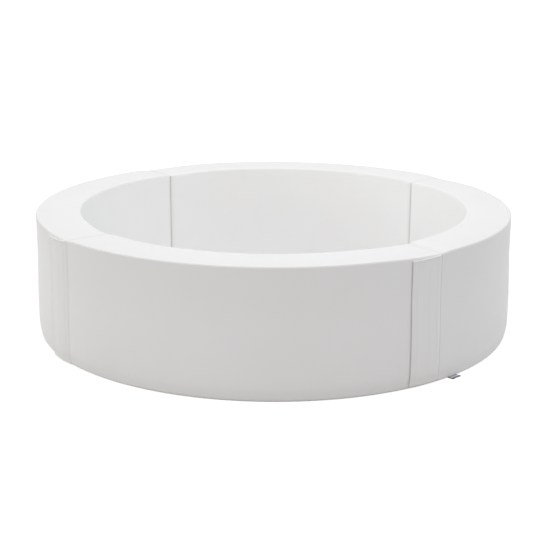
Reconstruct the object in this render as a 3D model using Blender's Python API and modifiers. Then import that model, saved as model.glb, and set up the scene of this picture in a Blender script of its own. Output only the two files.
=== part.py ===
import math

import bmesh
import bpy
from mathutils import Matrix

MM = 0.001

# The ring
RING_DIAMETER = 1580 * MM
WALL_THICKNESS = 140 * MM
RING_HEIGHT = 400 * MM
EDGE_ROUNDING = 9 * MM
EDGE_STEPS = 2
END_ROUNDING = 4 * MM
END_STEPS = 1
FIT = 0.3 * MM

# Four segments, counted counter-clockwise from the joint at the front left
SEGMENT_NAMES = ["front", "right", "back", "left"]
FIRST_JOINT_DEG = 218
SEGMENT_DEG = 90
FACETS = 24

# Covers and foam
COVER_THICKNESS = 1.2 * MM
FOAM_CHAMFER_SHARE = 0.85

# Zip slot in the base of each cover
SLOT_WIDTH = 17 * MM
SLOT_START_FACET = 2
ZIP_START_FACET = 1

# Zip pull, which lies lowest in the slot
PULL_LENGTH = 24 * MM
PULL_WIDTH = 7 * MM
PULL_THICKNESS = 1.4 * MM
PULL_FLOOR_GAP = 0.6 * MM
PULL_NECK_WIDTH = 4 * MM
PULL_NECK_SHARE = 0.3
PULL_CORNER = 2 * MM
EYE_RADIUS = 1.7 * MM
EYE_HOLE_RADIUS = 1.15 * MM
EYE_SIDES = 12

# Zip slider
SLIDER_LENGTH = 11 * MM
SLIDER_WIDTH = 11 * MM
SLIDER_REAR_SHARE = 0.7
SLIDER_PLATE = 1 * MM
SLIDER_CORNER = 1.5 * MM
SLIDER_WEB = 0.6 * MM
SLIDER_END_GAP = 3 * MM
BRIDGE_BAR = 1.2 * MM

# Zip tapes and coils
TAPE_THICKNESS = 0.6 * MM
TAPE_WIDTH = 24 * MM
COIL_WIDTH = 5.6 * MM
COIL_DEPTH = 2.2 * MM
COIL_GAP = 1.6 * MM
GROOVE_SIDE_GAP = 1.5 * MM
GROOVE_TOP_GAP = 0.6 * MM

# Joining flaps
FLAP_WIDTH = 115 * MM
FLAP_THICKNESS = 2.4 * MM
FLAP_BASE_GAP = 4 * MM
FLAP_TOP_GAP = 9 * MM
FLAP_RISE = 15 * MM
FLAP_CORNER = 5 * MM
FLAP_CORNER_STEPS = 2
HEM_RADIUS = 1.5 * MM
HEM_OFFSET = 3 * MM
HEM_SIDES = 10

# Hook and loop strips
STRIP_WIDTH = 50 * MM
STRIP_THICKNESS = 1 * MM
STRIP_EDGE_GAP = 20 * MM
STRIP_END_GAP = 16 * MM

# Sewn-in label beside the base of the right segment
LABEL_SEGMENT = "right"
LABEL_ARC_START = 66 * MM
LABEL_WIDTH = 42 * MM
LABEL_REACH = 16 * MM
LABEL_THICKNESS = 0.8 * MM
LABEL_FLOOR_GAP = 0.1 * MM
LABEL_ROOT_SHARE = 0.55

# One overrun for every cut and every join
OVERRUN = 1 * MM

# Sizes worked out from the ones above
OUTER_RADIUS = RING_DIAMETER / 2
INNER_RADIUS = OUTER_RADIUS - WALL_THICKNESS
MIDDLE_RADIUS = (OUTER_RADIUS + INNER_RADIUS) / 2
END_GAP_DEG = math.degrees(FIT / MIDDLE_RADIUS)
FACET_DEG = (SEGMENT_DEG - 2 * END_GAP_DEG) / FACETS
FACET_DROP_SHARE = 1 - math.cos(math.radians(FACET_DEG) / 2)

PULL_AXIS_HEIGHT = PULL_FLOOR_GAP + EYE_RADIUS
LOWER_PLATE_BASE = PULL_AXIS_HEIGHT + EYE_RADIUS + FIT
COIL_BASE = LOWER_PLATE_BASE + SLIDER_PLATE + FIT
TAPE_BASE = COIL_BASE + COIL_DEPTH
TAPE_TOP = TAPE_BASE + TAPE_THICKNESS
UPPER_PLATE_BASE = TAPE_TOP + FIT
UPPER_PLATE_TOP = UPPER_PLATE_BASE + SLIDER_PLATE
LIP_HEIGHT = TAPE_BASE - FIT
GROOVE_TOP = UPPER_PLATE_TOP + GROOVE_TOP_GAP

STRIP_START = FLAP_WIDTH - STRIP_EDGE_GAP - STRIP_WIDTH
LOOP_BASE = FIT
HOOK_BASE = LOOP_BASE + STRIP_THICKNESS + FIT
FLAP_LIFT = HOOK_BASE + STRIP_THICKNESS + FIT
HEM_HEIGHT = FIT + HEM_RADIUS


def start_fresh():
    for item in list(bpy.data.objects):
        bpy.data.objects.remove(item, do_unlink=True)
    parts = bpy.data.collections.new("foam_ball_pit")
    bpy.context.scene.collection.children.link(parts)
    return parts


def make_material(name, colour, roughness, metallic=0.0):
    material = bpy.data.materials.new(name)
    material.use_nodes = True
    shader = material.node_tree.nodes["Principled BSDF"]
    shader.inputs["Base Color"].default_value = (*colour, 1.0)
    shader.inputs["Roughness"].default_value = roughness
    shader.inputs["Metallic"].default_value = metallic
    return material


def add_object(name, mesh, collection, material=None, parent=None):
    item = bpy.data.objects.new(name, mesh)
    collection.objects.link(item)
    if material:
        mesh.materials.clear()
        mesh.materials.append(material)
    if parent:
        item.parent = parent
    return item


def mesh_from(shape, name):
    bmesh.ops.recalc_face_normals(shape, faces=shape.faces)
    mesh = bpy.data.meshes.new(name)
    shape.to_mesh(mesh)
    shape.free()
    mesh.shade_smooth()
    mesh.set_sharp_from_angle(angle=math.radians(30))
    return mesh


def move_origin(item, place):
    """Puts an object's origin at a place and leaves its mesh where it was."""
    item.data.transform(Matrix.Translation([-value for value in place]))
    item.location = place


def rounded_rectangle(left, right, bottom, top, rounding, steps):
    """The corners of a rectangle with round corners, counter-clockwise from the bottom right."""
    centres = [
        (right - rounding, bottom + rounding, -90),
        (right - rounding, top - rounding, 0),
        (left + rounding, top - rounding, 90),
        (left + rounding, bottom + rounding, 180),
    ]
    points = []
    for across, up, start_deg in centres:
        for step in range(steps + 1):
            turn = math.radians(start_deg + 90 * step / steps)
            points.append((across + rounding * math.cos(turn), up + rounding * math.sin(turn)))
    return points


def joint_deg(segment):
    return FIRST_JOINT_DEG + SEGMENT_DEG * segment


def facet_deg(segment, facet):
    """The direction of a facet corner. All curved pieces of a segment share these corners."""
    return joint_deg(segment) + END_GAP_DEG + FACET_DEG * facet


def wall_point(segment, radius, angle_deg):
    """The point of a segment's faceted wall of a given corner radius, seen from the centre at an angle."""
    along = (angle_deg - facet_deg(segment, 0)) / FACET_DEG
    facet = min(max(math.floor(along), 0), FACETS - 1)
    middle_deg = facet_deg(segment, facet + 0.5)
    reach = radius * math.cos(math.radians(FACET_DEG) / 2) / math.cos(math.radians(angle_deg - middle_deg))
    turn = math.radians(angle_deg)
    return reach * math.cos(turn), reach * math.sin(turn)


def swept_shape(outline, segment, first_facet, last_facet):
    """Turns an outline of (radius, height) points about the ring's axis between two facet corners."""
    shape = bmesh.new()
    corners = [shape.verts.new((radius, 0, height)) for radius, height in outline]
    shape.faces.new(corners)
    start = math.radians(facet_deg(segment, first_facet))
    steps = last_facet - first_facet
    bmesh.ops.rotate(shape, cent=(0, 0, 0), matrix=Matrix.Rotation(start, 3, "Z"), verts=shape.verts)
    bmesh.ops.spin(
        shape,
        geom=shape.verts[:] + shape.edges[:] + shape.faces[:],
        cent=(0, 0, 0),
        axis=(0, 0, 1),
        angle=math.radians(FACET_DEG * steps),
        steps=steps,
        use_duplicate=False,
    )
    bmesh.ops.recalc_face_normals(shape, faces=shape.faces)
    return shape


def end_faces(shape, segment, first_facet, last_facet):
    """The two flat faces of a swept shape that close its ends."""
    found = []
    for facet in (first_facet, last_facet):
        turn = math.radians(facet_deg(segment, facet))
        across = (-math.sin(turn), math.cos(turn))
        for face in shape.faces:
            flat = all(
                abs(corner.co.x * across[0] + corner.co.y * across[1]) < FIT / 10
                for corner in face.verts
            )
            if flat:
                found.append(face)
    return found


def round_ends(shape, segment, rounding, steps):
    """Rounds the edges around the two ends of a whole segment."""
    rims = set()
    for face in end_faces(shape, segment, 0, FACETS):
        rims.update(face.edges)
    bmesh.ops.bevel(
        shape,
        geom=list(rims),
        offset=rounding,
        offset_type="OFFSET",
        segments=steps,
        profile=0.5,
        affect="EDGES",
        clamp_overlap=True,
    )


def make_cover(segment, parts, material, parent):
    """A sewn case, open along a slot in its base. The slot's edges are folded up to meet the zip."""
    slot_left = MIDDLE_RADIUS - SLOT_WIDTH / 2
    slot_right = MIDDLE_RADIUS + SLOT_WIDTH / 2
    outline = rounded_rectangle(INNER_RADIUS, OUTER_RADIUS, 0, RING_HEIGHT, EDGE_ROUNDING, EDGE_STEPS)
    outline += [(slot_left, 0), (slot_right, 0)]
    shape = swept_shape(outline, segment, 0, FACETS)

    slot_end_facet = FACETS - SLOT_START_FACET
    slot_start_deg = facet_deg(segment, SLOT_START_FACET)
    slot_deg = FACET_DEG * (slot_end_facet - SLOT_START_FACET)
    slot_faces = []
    for face in shape.faces:
        centre = face.calc_center_median()
        low = max(corner.co.z for corner in face.verts) < FIT
        inside = abs(math.hypot(centre.x, centre.y) - MIDDLE_RADIUS) < SLOT_WIDTH / 2
        angle = (math.degrees(math.atan2(centre.y, centre.x)) - slot_start_deg) % 360
        if low and inside and angle < slot_deg:
            slot_faces.append(face)
    bmesh.ops.delete(shape, geom=slot_faces, context="FACES")
    slot_rim = [edge for edge in shape.edges if edge.is_boundary]
    lips = bmesh.ops.extrude_edge_only(shape, edges=slot_rim)
    lip_corners = [item for item in lips["geom"] if isinstance(item, bmesh.types.BMVert)]
    bmesh.ops.translate(shape, verts=lip_corners, vec=(0, 0, LIP_HEIGHT))
    round_ends(shape, segment, END_ROUNDING, END_STEPS)

    name = f"cover_{SEGMENT_NAMES[segment]}"
    mesh = bpy.data.meshes.new(name)
    shape.to_mesh(mesh)
    shape.free()
    mesh.shade_smooth()
    mesh.set_sharp_from_angle(angle=math.radians(30))
    item = add_object(name, mesh, parts, material, parent)
    skin = item.modifiers.new("thickness", "SOLIDIFY")
    skin.thickness = COVER_THICKNESS
    skin.offset = -1
    skin.use_even_offset = True
    skin.use_quality_normals = True
    skin.use_rim = True
    return item


def draw_in_ends(shape, segment, first_facet, last_facet, inset):
    """Moves both ends of a swept shape in along the ring, and returns the corners of each end."""
    both = []
    for facet, sign in ((first_facet, 1), (last_facet, -1)):
        turn = math.radians(facet_deg(segment, facet))
        along = (-math.sin(turn), math.cos(turn))
        ends = [
            corner
            for corner in shape.verts
            if abs(corner.co.x * along[0] + corner.co.y * along[1]) < FIT / 10
            and corner.co.x * math.cos(turn) + corner.co.y * math.sin(turn) > 0
        ]
        step = (along[0] * sign * inset, along[1] * sign * inset, 0)
        bmesh.ops.translate(shape, verts=ends, vec=step)
        both.append(ends)
    return both


def make_foam(segment, parts, material, parent):
    """A quarter ring of foam with chamfered edges and a groove that clears the zip."""
    inset = COVER_THICKNESS + FIT
    left, right = INNER_RADIUS + inset, OUTER_RADIUS - inset
    bottom, top = inset, RING_HEIGHT - inset
    chamfer = EDGE_ROUNDING * FOAM_CHAMFER_SHARE
    groove = TAPE_WIDTH / 2 + GROOVE_SIDE_GAP
    outline = rounded_rectangle(left, right, bottom, top, chamfer, 1)
    outline += [
        (MIDDLE_RADIUS - groove, bottom),
        (MIDDLE_RADIUS - groove, GROOVE_TOP),
        (MIDDLE_RADIUS + groove, GROOVE_TOP),
        (MIDDLE_RADIUS + groove, bottom),
    ]
    shape = swept_shape(outline, segment, 0, FACETS)
    for ends in draw_in_ends(shape, segment, 0, FACETS, inset):
        rims = {edge for corner in ends for edge in corner.link_edges if edge.other_vert(corner) in ends}
        bmesh.ops.bevel(
            shape,
            geom=list(rims),
            offset=END_ROUNDING * FOAM_CHAMFER_SHARE,
            offset_type="OFFSET",
            segments=1,
            profile=0.5,
            affect="EDGES",
            clamp_overlap=True,
        )
    name = f"foam_core_{SEGMENT_NAMES[segment]}"
    return add_object(name, mesh_from(shape, name), parts, material, parent)


def swept_band(half_width, low, high, segment, first_facet, last_facet):
    """A band along the middle of the wall between two heights."""
    outline = [
        (MIDDLE_RADIUS - half_width, low),
        (MIDDLE_RADIUS + half_width, low),
        (MIDDLE_RADIUS + half_width, high),
        (MIDDLE_RADIUS - half_width, high),
    ]
    return swept_shape(outline, segment, first_facet, last_facet)


def make_zip(segment, parts, material, parent):
    """Two tapes with their coils. The tapes are joined past both ends of the slot."""
    first, last = SLOT_START_FACET, FACETS - SLOT_START_FACET
    tape = swept_band(
        TAPE_WIDTH / 2, TAPE_BASE, TAPE_TOP, segment, ZIP_START_FACET, FACETS - ZIP_START_FACET
    )
    coil = swept_band(COIL_WIDTH / 2, COIL_BASE, TAPE_BASE + TAPE_THICKNESS / 2, segment, first, last)
    draw_in_ends(coil, segment, first, last, COVER_THICKNESS + FIT)
    gap = swept_band(COIL_GAP / 2, COIL_BASE - OVERRUN, TAPE_TOP + OVERRUN, segment, first, last)
    name = f"zip_{SEGMENT_NAMES[segment]}"
    mesh = combined_mesh(name, tape, [("UNION", coil), ("DIFFERENCE", gap)])
    return add_object(name, mesh, parts, material, parent)


def box_shape(low, high):
    """A box between two corners."""
    shape = bmesh.new()
    bmesh.ops.create_cube(shape, size=1)
    for corner in shape.verts:
        for axis in range(3):
            corner.co[axis] = high[axis] if corner.co[axis] > 0 else low[axis]
    return shape


def outline_shape(outline, axis, low, high):
    """A flat outline given thickness along one axis. The outline's values go on the two other axes, in order."""
    shape = bmesh.new()
    others = [number for number in range(3) if number != axis]
    corners = []
    for pair in outline:
        place = [0, 0, 0]
        place[others[0]], place[others[1]] = pair
        place[axis] = low
        corners.append(shape.verts.new(place))
    face = shape.faces.new(corners)
    grown = bmesh.ops.extrude_face_region(shape, geom=[face])
    moved = [item for item in grown["geom"] if isinstance(item, bmesh.types.BMVert)]
    step = [0, 0, 0]
    step[axis] = high - low
    bmesh.ops.translate(shape, verts=moved, vec=step)
    bmesh.ops.recalc_face_normals(shape, faces=shape.faces)
    return shape


def combined_mesh(name, first, changes):
    """The mesh of one solid after others have been joined to it or cut from it, in order."""
    scene = bpy.context.scene.collection
    base = add_object(name, mesh_from(first, name), scene)
    helpers = []
    for operation, shape in changes:
        helper = add_object(f"{name}_{operation.lower()}", mesh_from(shape, name), scene)
        helpers.append(helper)
        change = base.modifiers.new(operation, "BOOLEAN")
        change.operation = operation
        change.object = helper
    evaluated = base.evaluated_get(bpy.context.evaluated_depsgraph_get())
    mesh = bpy.data.meshes.new_from_object(evaluated)
    for item in [base, *helpers]:
        bpy.data.objects.remove(item, do_unlink=True)
    mesh.name = name
    return mesh


def slider_mesh():
    """Two plates joined by a web that runs between the coils, with a bridge below for the pull."""
    half_long, half_wide = SLIDER_LENGTH / 2, SLIDER_WIDTH / 2
    rear = half_wide * SLIDER_REAR_SHARE
    plan = [(-half_wide, -half_long), (half_wide, -half_long), (rear, half_long), (-rear, half_long)]
    lower = outline_shape(plan, 2, LOWER_PLATE_BASE, LOWER_PLATE_BASE + SLIDER_PLATE)
    upper = outline_shape(plan, 2, UPPER_PLATE_BASE, UPPER_PLATE_TOP)
    for plate in (lower, upper):
        uprights = [
            edge
            for edge in plate.edges
            if abs(edge.verts[0].co.z - edge.verts[1].co.z) > SLIDER_PLATE / 2
        ]
        bmesh.ops.bevel(plate, geom=uprights, offset=SLIDER_CORNER, segments=2, profile=0.5, affect="EDGES")
    web_low = (-SLIDER_WEB / 2, -half_long / 2, LOWER_PLATE_BASE + SLIDER_PLATE / 2)
    web_high = (SLIDER_WEB / 2, half_long / 2, UPPER_PLATE_BASE + SLIDER_PLATE / 2)
    inside = PULL_NECK_WIDTH / 2 + FIT
    outside = inside + BRIDGE_BAR
    bar_low = PULL_AXIS_HEIGHT - BRIDGE_BAR / 2
    bar_high = PULL_AXIS_HEIGHT + BRIDGE_BAR / 2
    root = LOWER_PLATE_BASE + SLIDER_PLATE / 2
    bridge = [
        (-outside, root),
        (-outside, bar_low),
        (outside, bar_low),
        (outside, root),
        (inside, root),
        (inside, bar_high),
        (-inside, bar_high),
        (-inside, root),
    ]
    changes = [
        ("UNION", box_shape(web_low, web_high)),
        ("UNION", upper),
        ("UNION", outline_shape(bridge, 1, -BRIDGE_BAR / 2, BRIDGE_BAR / 2)),
    ]
    return combined_mesh("zip_slider", lower, changes)


def pull_mesh():
    """A flat tab with an eye around the slider's bridge, drawn with the eye at the origin."""
    half_thick = PULL_THICKNESS / 2
    neck_end = PULL_LENGTH * PULL_NECK_SHARE
    eye_back = math.asin(half_thick / EYE_RADIUS)
    eye = []
    for step in range(EYE_SIDES + 1):
        turn = eye_back + (2 * math.pi - 2 * eye_back) * step / EYE_SIDES
        eye.append((EYE_RADIUS * math.cos(turn), EYE_RADIUS * math.sin(turn)))
    neck = [*eye, (neck_end, -half_thick), (neck_end, half_thick)]
    hole = []
    for step in range(EYE_SIDES):
        turn = 2 * math.pi * step / EYE_SIDES
        hole.append((EYE_HOLE_RADIUS * math.cos(turn), EYE_HOLE_RADIUS * math.sin(turn)))
    half_neck = PULL_NECK_WIDTH / 2
    half_wide = PULL_WIDTH / 2
    tab = box_shape(
        (-half_wide, neck_end - OVERRUN, -half_thick),
        (half_wide, PULL_LENGTH, half_thick),
    )
    uprights = [
        edge for edge in tab.edges if abs(edge.verts[0].co.z - edge.verts[1].co.z) > half_thick
    ]
    bmesh.ops.bevel(tab, geom=uprights, offset=PULL_CORNER, segments=2, profile=0.5, affect="EDGES")
    changes = [
        ("UNION", tab),
        ("DIFFERENCE", outline_shape(hole, 0, -half_neck - OVERRUN, half_neck + OVERRUN)),
    ]
    return combined_mesh("zip_pull", outline_shape(neck, 0, -half_neck, half_neck), changes)


def slider_rest_deg(segment):
    """The slider waits at the first end of the slot."""
    clear = SLIDER_END_GAP + SLIDER_LENGTH / 2
    return facet_deg(segment, SLOT_START_FACET) + math.degrees(clear / MIDDLE_RADIUS)


def make_slider_and_pull(segment, meshes, parts, parent):
    track_radius = MIDDLE_RADIUS * (1 - FACET_DROP_SHARE / 2)
    angle = math.radians(slider_rest_deg(segment))
    name = SEGMENT_NAMES[segment]
    slider = add_object(f"zip_slider_{name}", meshes["slider"].copy(), parts, None, parent)
    slider.data.transform(Matrix.Translation((track_radius, 0, 0)))
    slider.rotation_euler = (0, 0, angle)
    pull = add_object(f"zip_pull_{name}", meshes["pull"], parts, None, slider)
    pull.location = (track_radius, 0, PULL_AXIS_HEIGHT)


def strip_outline(segment, start, end, low, high):
    """A thin strip on the outer wall past the segment's last end, as seen from above.

    start and end are measured along the wall from the joint, low and high out of the wall.
    """
    last_deg = joint_deg(segment + 1)
    start_deg = last_deg - math.degrees(start / OUTER_RADIUS)
    end_deg = last_deg - math.degrees(end / OUTER_RADIUS)
    corners = [facet_deg(segment, facet) for facet in range(FACETS, -1, -1)]
    angles = [start_deg, *[angle for angle in corners if end_deg < angle < start_deg], end_deg]
    inner = [wall_point(segment, OUTER_RADIUS + low, angle) for angle in angles]
    outer = [wall_point(segment, OUTER_RADIUS + high, angle) for angle in reversed(angles)]
    return inner + outer


def strip_heights():
    base = FLAP_BASE_GAP + STRIP_END_GAP
    return base, RING_HEIGHT - FLAP_TOP_GAP - STRIP_END_GAP


def hinge_place(segment):
    """The sewn edge of the flap that closes the joint at the start of a segment, on its own wall."""
    angle = math.radians(joint_deg(segment)) + HEM_OFFSET / OUTER_RADIUS
    radius = OUTER_RADIUS + HEM_HEIGHT
    return radius * math.cos(angle), radius * math.sin(angle)


def flap_outline(segment):
    """The flap as seen from above: a round hem on its own segment, then a rise onto the strips."""
    neighbour = (segment - 1) % len(SEGMENT_NAMES)
    joint = joint_deg(neighbour + 1)
    hem_x, hem_y = hinge_place(segment)
    turn = math.radians(joint_deg(segment))
    out = (math.cos(turn), math.sin(turn))
    along = (math.sin(turn), -math.cos(turn))

    def near_hem(forward, outward):
        return (
            hem_x + along[0] * forward + out[0] * outward,
            hem_y + along[1] * forward + out[1] * outward,
        )

    hem = []
    for step in range(HEM_SIDES + 1):
        around = math.radians(60 + 240 * step / HEM_SIDES)
        hem.append(near_hem(HEM_RADIUS * math.cos(around), HEM_RADIUS * math.sin(around)))

    def flap_side(height):
        rise_deg = joint - math.degrees(FLAP_RISE / OUTER_RADIUS)
        end_deg = joint - math.degrees(FLAP_WIDTH / OUTER_RADIUS)
        corners = [facet_deg(neighbour, facet) for facet in range(FACETS, -1, -1)]
        angles = [rise_deg, *[angle for angle in corners if end_deg < angle < rise_deg], end_deg]
        return [wall_point(neighbour, OUTER_RADIUS + height, angle) for angle in angles]

    inner = flap_side(FLAP_LIFT)
    outer = flap_side(FLAP_LIFT + FLAP_THICKNESS)
    return hem + inner + list(reversed(outer))


def make_flap(segment, parts, material, parent):
    bottom, top = FLAP_BASE_GAP, RING_HEIGHT - FLAP_TOP_GAP
    shape = outline_shape(flap_outline(segment), 2, bottom, top)
    end_angle = math.radians(joint_deg(segment)) - FLAP_WIDTH / OUTER_RADIUS
    along = (math.sin(end_angle), -math.cos(end_angle))
    far = max(corner.co.x * along[0] + corner.co.y * along[1] for corner in shape.verts)
    corners = []
    for edge in shape.edges:
        level = abs(edge.verts[0].co.z - edge.verts[1].co.z) < FIT
        at_end = all(
            corner.co.x * along[0] + corner.co.y * along[1] > far - FLAP_THICKNESS / 2
            for corner in edge.verts
        )
        if level and at_end:
            corners.append(edge)
    bmesh.ops.bevel(
        shape,
        geom=corners,
        offset=FLAP_CORNER,
        segments=FLAP_CORNER_STEPS,
        profile=0.5,
        affect="EDGES",
    )
    name = f"flap_{SEGMENT_NAMES[segment]}"
    item = add_object(name, mesh_from(shape, name), parts, material, parent)
    hinge_x, hinge_y = hinge_place(segment)
    move_origin(item, (hinge_x, hinge_y, 0))
    return item


def make_hook_strip(segment, parts, material, flap):
    """The strip sewn inside a flap, which lies over the neighbouring segment's wall."""
    neighbour = (segment - 1) % len(SEGMENT_NAMES)
    bottom, top = strip_heights()
    outline = strip_outline(
        neighbour, STRIP_START, STRIP_START + STRIP_WIDTH, HOOK_BASE, HOOK_BASE + STRIP_THICKNESS
    )
    name = f"hook_strip_{SEGMENT_NAMES[segment]}"
    mesh = mesh_from(outline_shape(outline, 2, bottom, top), name)
    item = add_object(name, mesh, parts, material, flap)
    hinge_x, hinge_y = hinge_place(segment)
    mesh.transform(Matrix.Translation((-hinge_x, -hinge_y, 0)))
    return item


def make_loop_strip(segment, parts, material, parent):
    """The strip sewn on a segment's outer wall, under its neighbour's flap."""
    bottom, top = strip_heights()
    outline = strip_outline(
        segment, STRIP_START, STRIP_START + STRIP_WIDTH, LOOP_BASE, LOOP_BASE + STRIP_THICKNESS
    )
    name = f"loop_strip_{SEGMENT_NAMES[segment]}"
    mesh = mesh_from(outline_shape(outline, 2, bottom, top), name)
    return add_object(name, mesh, parts, material, parent)


def make_label(parts, material, parents):
    """A folded fabric label that comes out of the base seam and lies on the floor."""
    segment = SEGMENT_NAMES.index(LABEL_SEGMENT)
    start_deg = joint_deg(segment) + math.degrees(LABEL_ARC_START / OUTER_RADIUS)
    end_deg = start_deg + math.degrees(LABEL_WIDTH / OUTER_RADIUS)
    corners = [facet_deg(segment, facet) for facet in range(FACETS)]
    angles = [start_deg, *[angle for angle in corners if start_deg < angle < end_deg], end_deg]
    root_radius = OUTER_RADIUS - EDGE_ROUNDING * LABEL_ROOT_SHARE
    inner = [wall_point(segment, root_radius, angle) for angle in angles]
    outer = [wall_point(segment, OUTER_RADIUS + LABEL_REACH, angle) for angle in reversed(angles)]
    shape = outline_shape(inner + outer, 2, LABEL_FLOOR_GAP, LABEL_FLOOR_GAP + LABEL_THICKNESS)
    return add_object("care_label", mesh_from(shape, "care_label"), parts, material, parents[segment])


def main():
    parts = start_fresh()
    faux_leather = make_material("faux_leather", (0.93, 0.93, 0.92), 0.45)
    foam = make_material("foam", (0.86, 0.85, 0.78), 0.9)
    hook = make_material("hook_tape", (0.88, 0.88, 0.87), 0.8)
    loop = make_material("loop_tape", (0.9, 0.9, 0.89), 0.95)
    zip_tape = make_material("zip_tape", (0.88, 0.88, 0.87), 0.8)
    white_metal = make_material("white_metal", (0.8, 0.8, 0.8), 0.35, 0.5)
    label = make_material("label_fabric", (0.85, 0.86, 0.88), 0.85)

    meshes = {"slider": slider_mesh(), "pull": pull_mesh()}
    for mesh in meshes.values():
        mesh.materials.clear()
        mesh.materials.append(white_metal)

    frames = []
    for segment, name in enumerate(SEGMENT_NAMES):
        frame = bpy.data.objects.new(f"segment_{name}", None)
        parts.objects.link(frame)
        frames.append(frame)
        make_foam(segment, parts, foam, frame)
        make_cover(segment, parts, faux_leather, frame)
        make_zip(segment, parts, zip_tape, frame)
        make_slider_and_pull(segment, meshes, parts, frame)
        flap = make_flap(segment, parts, faux_leather, frame)
        make_hook_strip(segment, parts, hook, flap)
        make_loop_strip(segment, parts, loop, frame)
    make_label(parts, label, frames)


main()
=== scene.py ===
import math

import bmesh
import bpy
import numpy as np
from mathutils import Matrix, Vector, noise


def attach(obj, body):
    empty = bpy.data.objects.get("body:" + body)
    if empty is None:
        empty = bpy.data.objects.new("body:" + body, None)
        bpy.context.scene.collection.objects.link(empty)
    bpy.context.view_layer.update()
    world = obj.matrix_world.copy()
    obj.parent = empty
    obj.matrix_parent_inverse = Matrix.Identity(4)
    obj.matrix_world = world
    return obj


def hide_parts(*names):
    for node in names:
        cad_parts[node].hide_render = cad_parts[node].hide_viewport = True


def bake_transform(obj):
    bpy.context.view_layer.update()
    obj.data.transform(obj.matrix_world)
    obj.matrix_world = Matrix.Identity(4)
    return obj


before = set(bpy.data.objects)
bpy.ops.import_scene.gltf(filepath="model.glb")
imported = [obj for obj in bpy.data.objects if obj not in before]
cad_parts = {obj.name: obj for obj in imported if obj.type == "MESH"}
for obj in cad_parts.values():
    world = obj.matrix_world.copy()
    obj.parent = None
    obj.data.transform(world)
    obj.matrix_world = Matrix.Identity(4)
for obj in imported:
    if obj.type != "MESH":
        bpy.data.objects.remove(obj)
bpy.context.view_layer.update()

mm = 0.001

# Lengths are in metres. Angles are in degrees, counter-clockwise from +X as seen from above.
# Each value in a row of four is for the segments in their order here.
ring = {
    "outerRadius": 790 * mm,
    "wall": 140 * mm,
    "height": 400 * mm,
    "segments": ["front", "right", "back", "left"],
    "firstJoint": 218,
    "segmentAngle": 90,
    "jointGap": 0.3 * mm,
}
outerRadius = ring["outerRadius"]
innerRadius = outerRadius - ring["wall"]
middleRadius = outerRadius - ring["wall"] / 2
gapAngle = math.degrees(ring["jointGap"] / middleRadius)
sweep = ring["segmentAngle"] - 2 * gapAngle
weldDistance = 0.01 * mm
cornerTolerance = 0.1 * mm
endTolerance = 0.01
baseLevel = 2 * mm
tapeSmoothing = 40
seedShift = (3.7, 1.9, 5.3)


def jointAngle(segment):
    return ring["firstJoint"] + ring["segmentAngle"] * segment


def deselectAll():
    if bpy.context.object and bpy.context.object.mode != "OBJECT":
        bpy.ops.object.mode_set(mode="OBJECT")
    bpy.ops.object.select_all(action="DESELECT")


def makeActive(piece):
    deselectAll()
    piece.select_set(True)
    bpy.context.view_layer.objects.active = piece


def selectAll():
    bpy.ops.mesh.select_all(action="SELECT")


def startEdit(piece):
    makeActive(piece)
    bpy.ops.object.mode_set(mode="EDIT")
    selectAll()


def endEdit():
    bpy.ops.object.mode_set(mode="OBJECT")


def takeNew(name, scale=None):
    # the primitive that was just added, with its place and size moved into its mesh
    piece = bpy.context.object
    piece.name = name
    piece.data.name = name
    if scale:
        piece.scale = scale
    bpy.ops.object.transform_apply(location=True, rotation=True, scale=True)
    return piece


def addUpright(name, place, width, height, columns=1, rows=1):
    # an upright sheet whose width runs along x
    deselectAll()
    bpy.ops.mesh.primitive_grid_add(
        x_subdivisions=columns, y_subdivisions=rows, size=1, location=place, rotation=(math.pi / 2, 0, 0)
    )
    return takeNew(name, (width, height, 1))


def pick(piece, kind, test):
    # selects in edit mode what passes the test: "verts", "edges" or "faces"
    bpy.ops.mesh.select_mode(type={"verts": "VERT", "edges": "EDGE", "faces": "FACE"}[kind])
    bpy.ops.mesh.select_all(action="DESELECT")
    shape = bmesh.from_edit_mesh(piece.data)
    for item in getattr(shape, kind):
        if test(item):
            item.select_set(True)
    bmesh.update_edit_mesh(piece.data)


def roundCorners(piece, ends, levels, offset, cuts):
    # rounds the corners of an upright sheet that lie at those ends and levels
    def isCorner(corner):
        aside = min(abs(corner.co.x - end) for end in ends)
        return max(aside, min(abs(corner.co.z - level) for level in levels)) < cornerTolerance

    pick(piece, "verts", isCorner)
    bpy.ops.mesh.bevel(offset=offset, segments=cuts, affect="VERTICES")


def applyModifier(piece, kind, **settings):
    modifier = piece.modifiers.new(kind.title(), kind)
    for setting, value in settings.items():
        setattr(modifier, setting, value)
    makeActive(piece)
    bpy.ops.object.modifier_apply(modifier=modifier.name)


def smoothShade(piece, angle=None):
    makeActive(piece)
    if angle:
        bpy.ops.object.shade_smooth_by_angle(angle=math.radians(angle))
    else:
        bpy.ops.object.shade_smooth()


def faceOutwards(piece):
    startEdit(piece)
    bpy.ops.mesh.normals_make_consistent(inside=False)
    endEdit()


def addObject(name, data):
    item = bpy.data.objects.new(name, data)
    bpy.context.scene.collection.objects.link(item)
    return item


def copyPiece(source, name):
    piece = addObject(name, source.data.copy())
    piece.data.name = name
    return piece


def copyToSegment(source, title, segment):
    # a copy of what starts at +X, turned to its segment
    piece = copyPiece(source, f"{title}_{ring['segments'][segment]}")
    piece.data.transform(Matrix.Rotation(math.radians(jointAngle(segment) + gapAngle), 4, "Z"))
    return piece


def removePiece(piece):
    bpy.data.objects.remove(piece, do_unlink=True)


def readVectors(items, attribute):
    values = np.zeros(len(items) * 3)
    items.foreach_get(attribute, values)
    return values.reshape(-1, 3)


def readPoints(piece):
    return readVectors(piece.data.vertices, "co")


def readNormals(piece):
    return readVectors(piece.data.vertex_normals, "vector")


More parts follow.
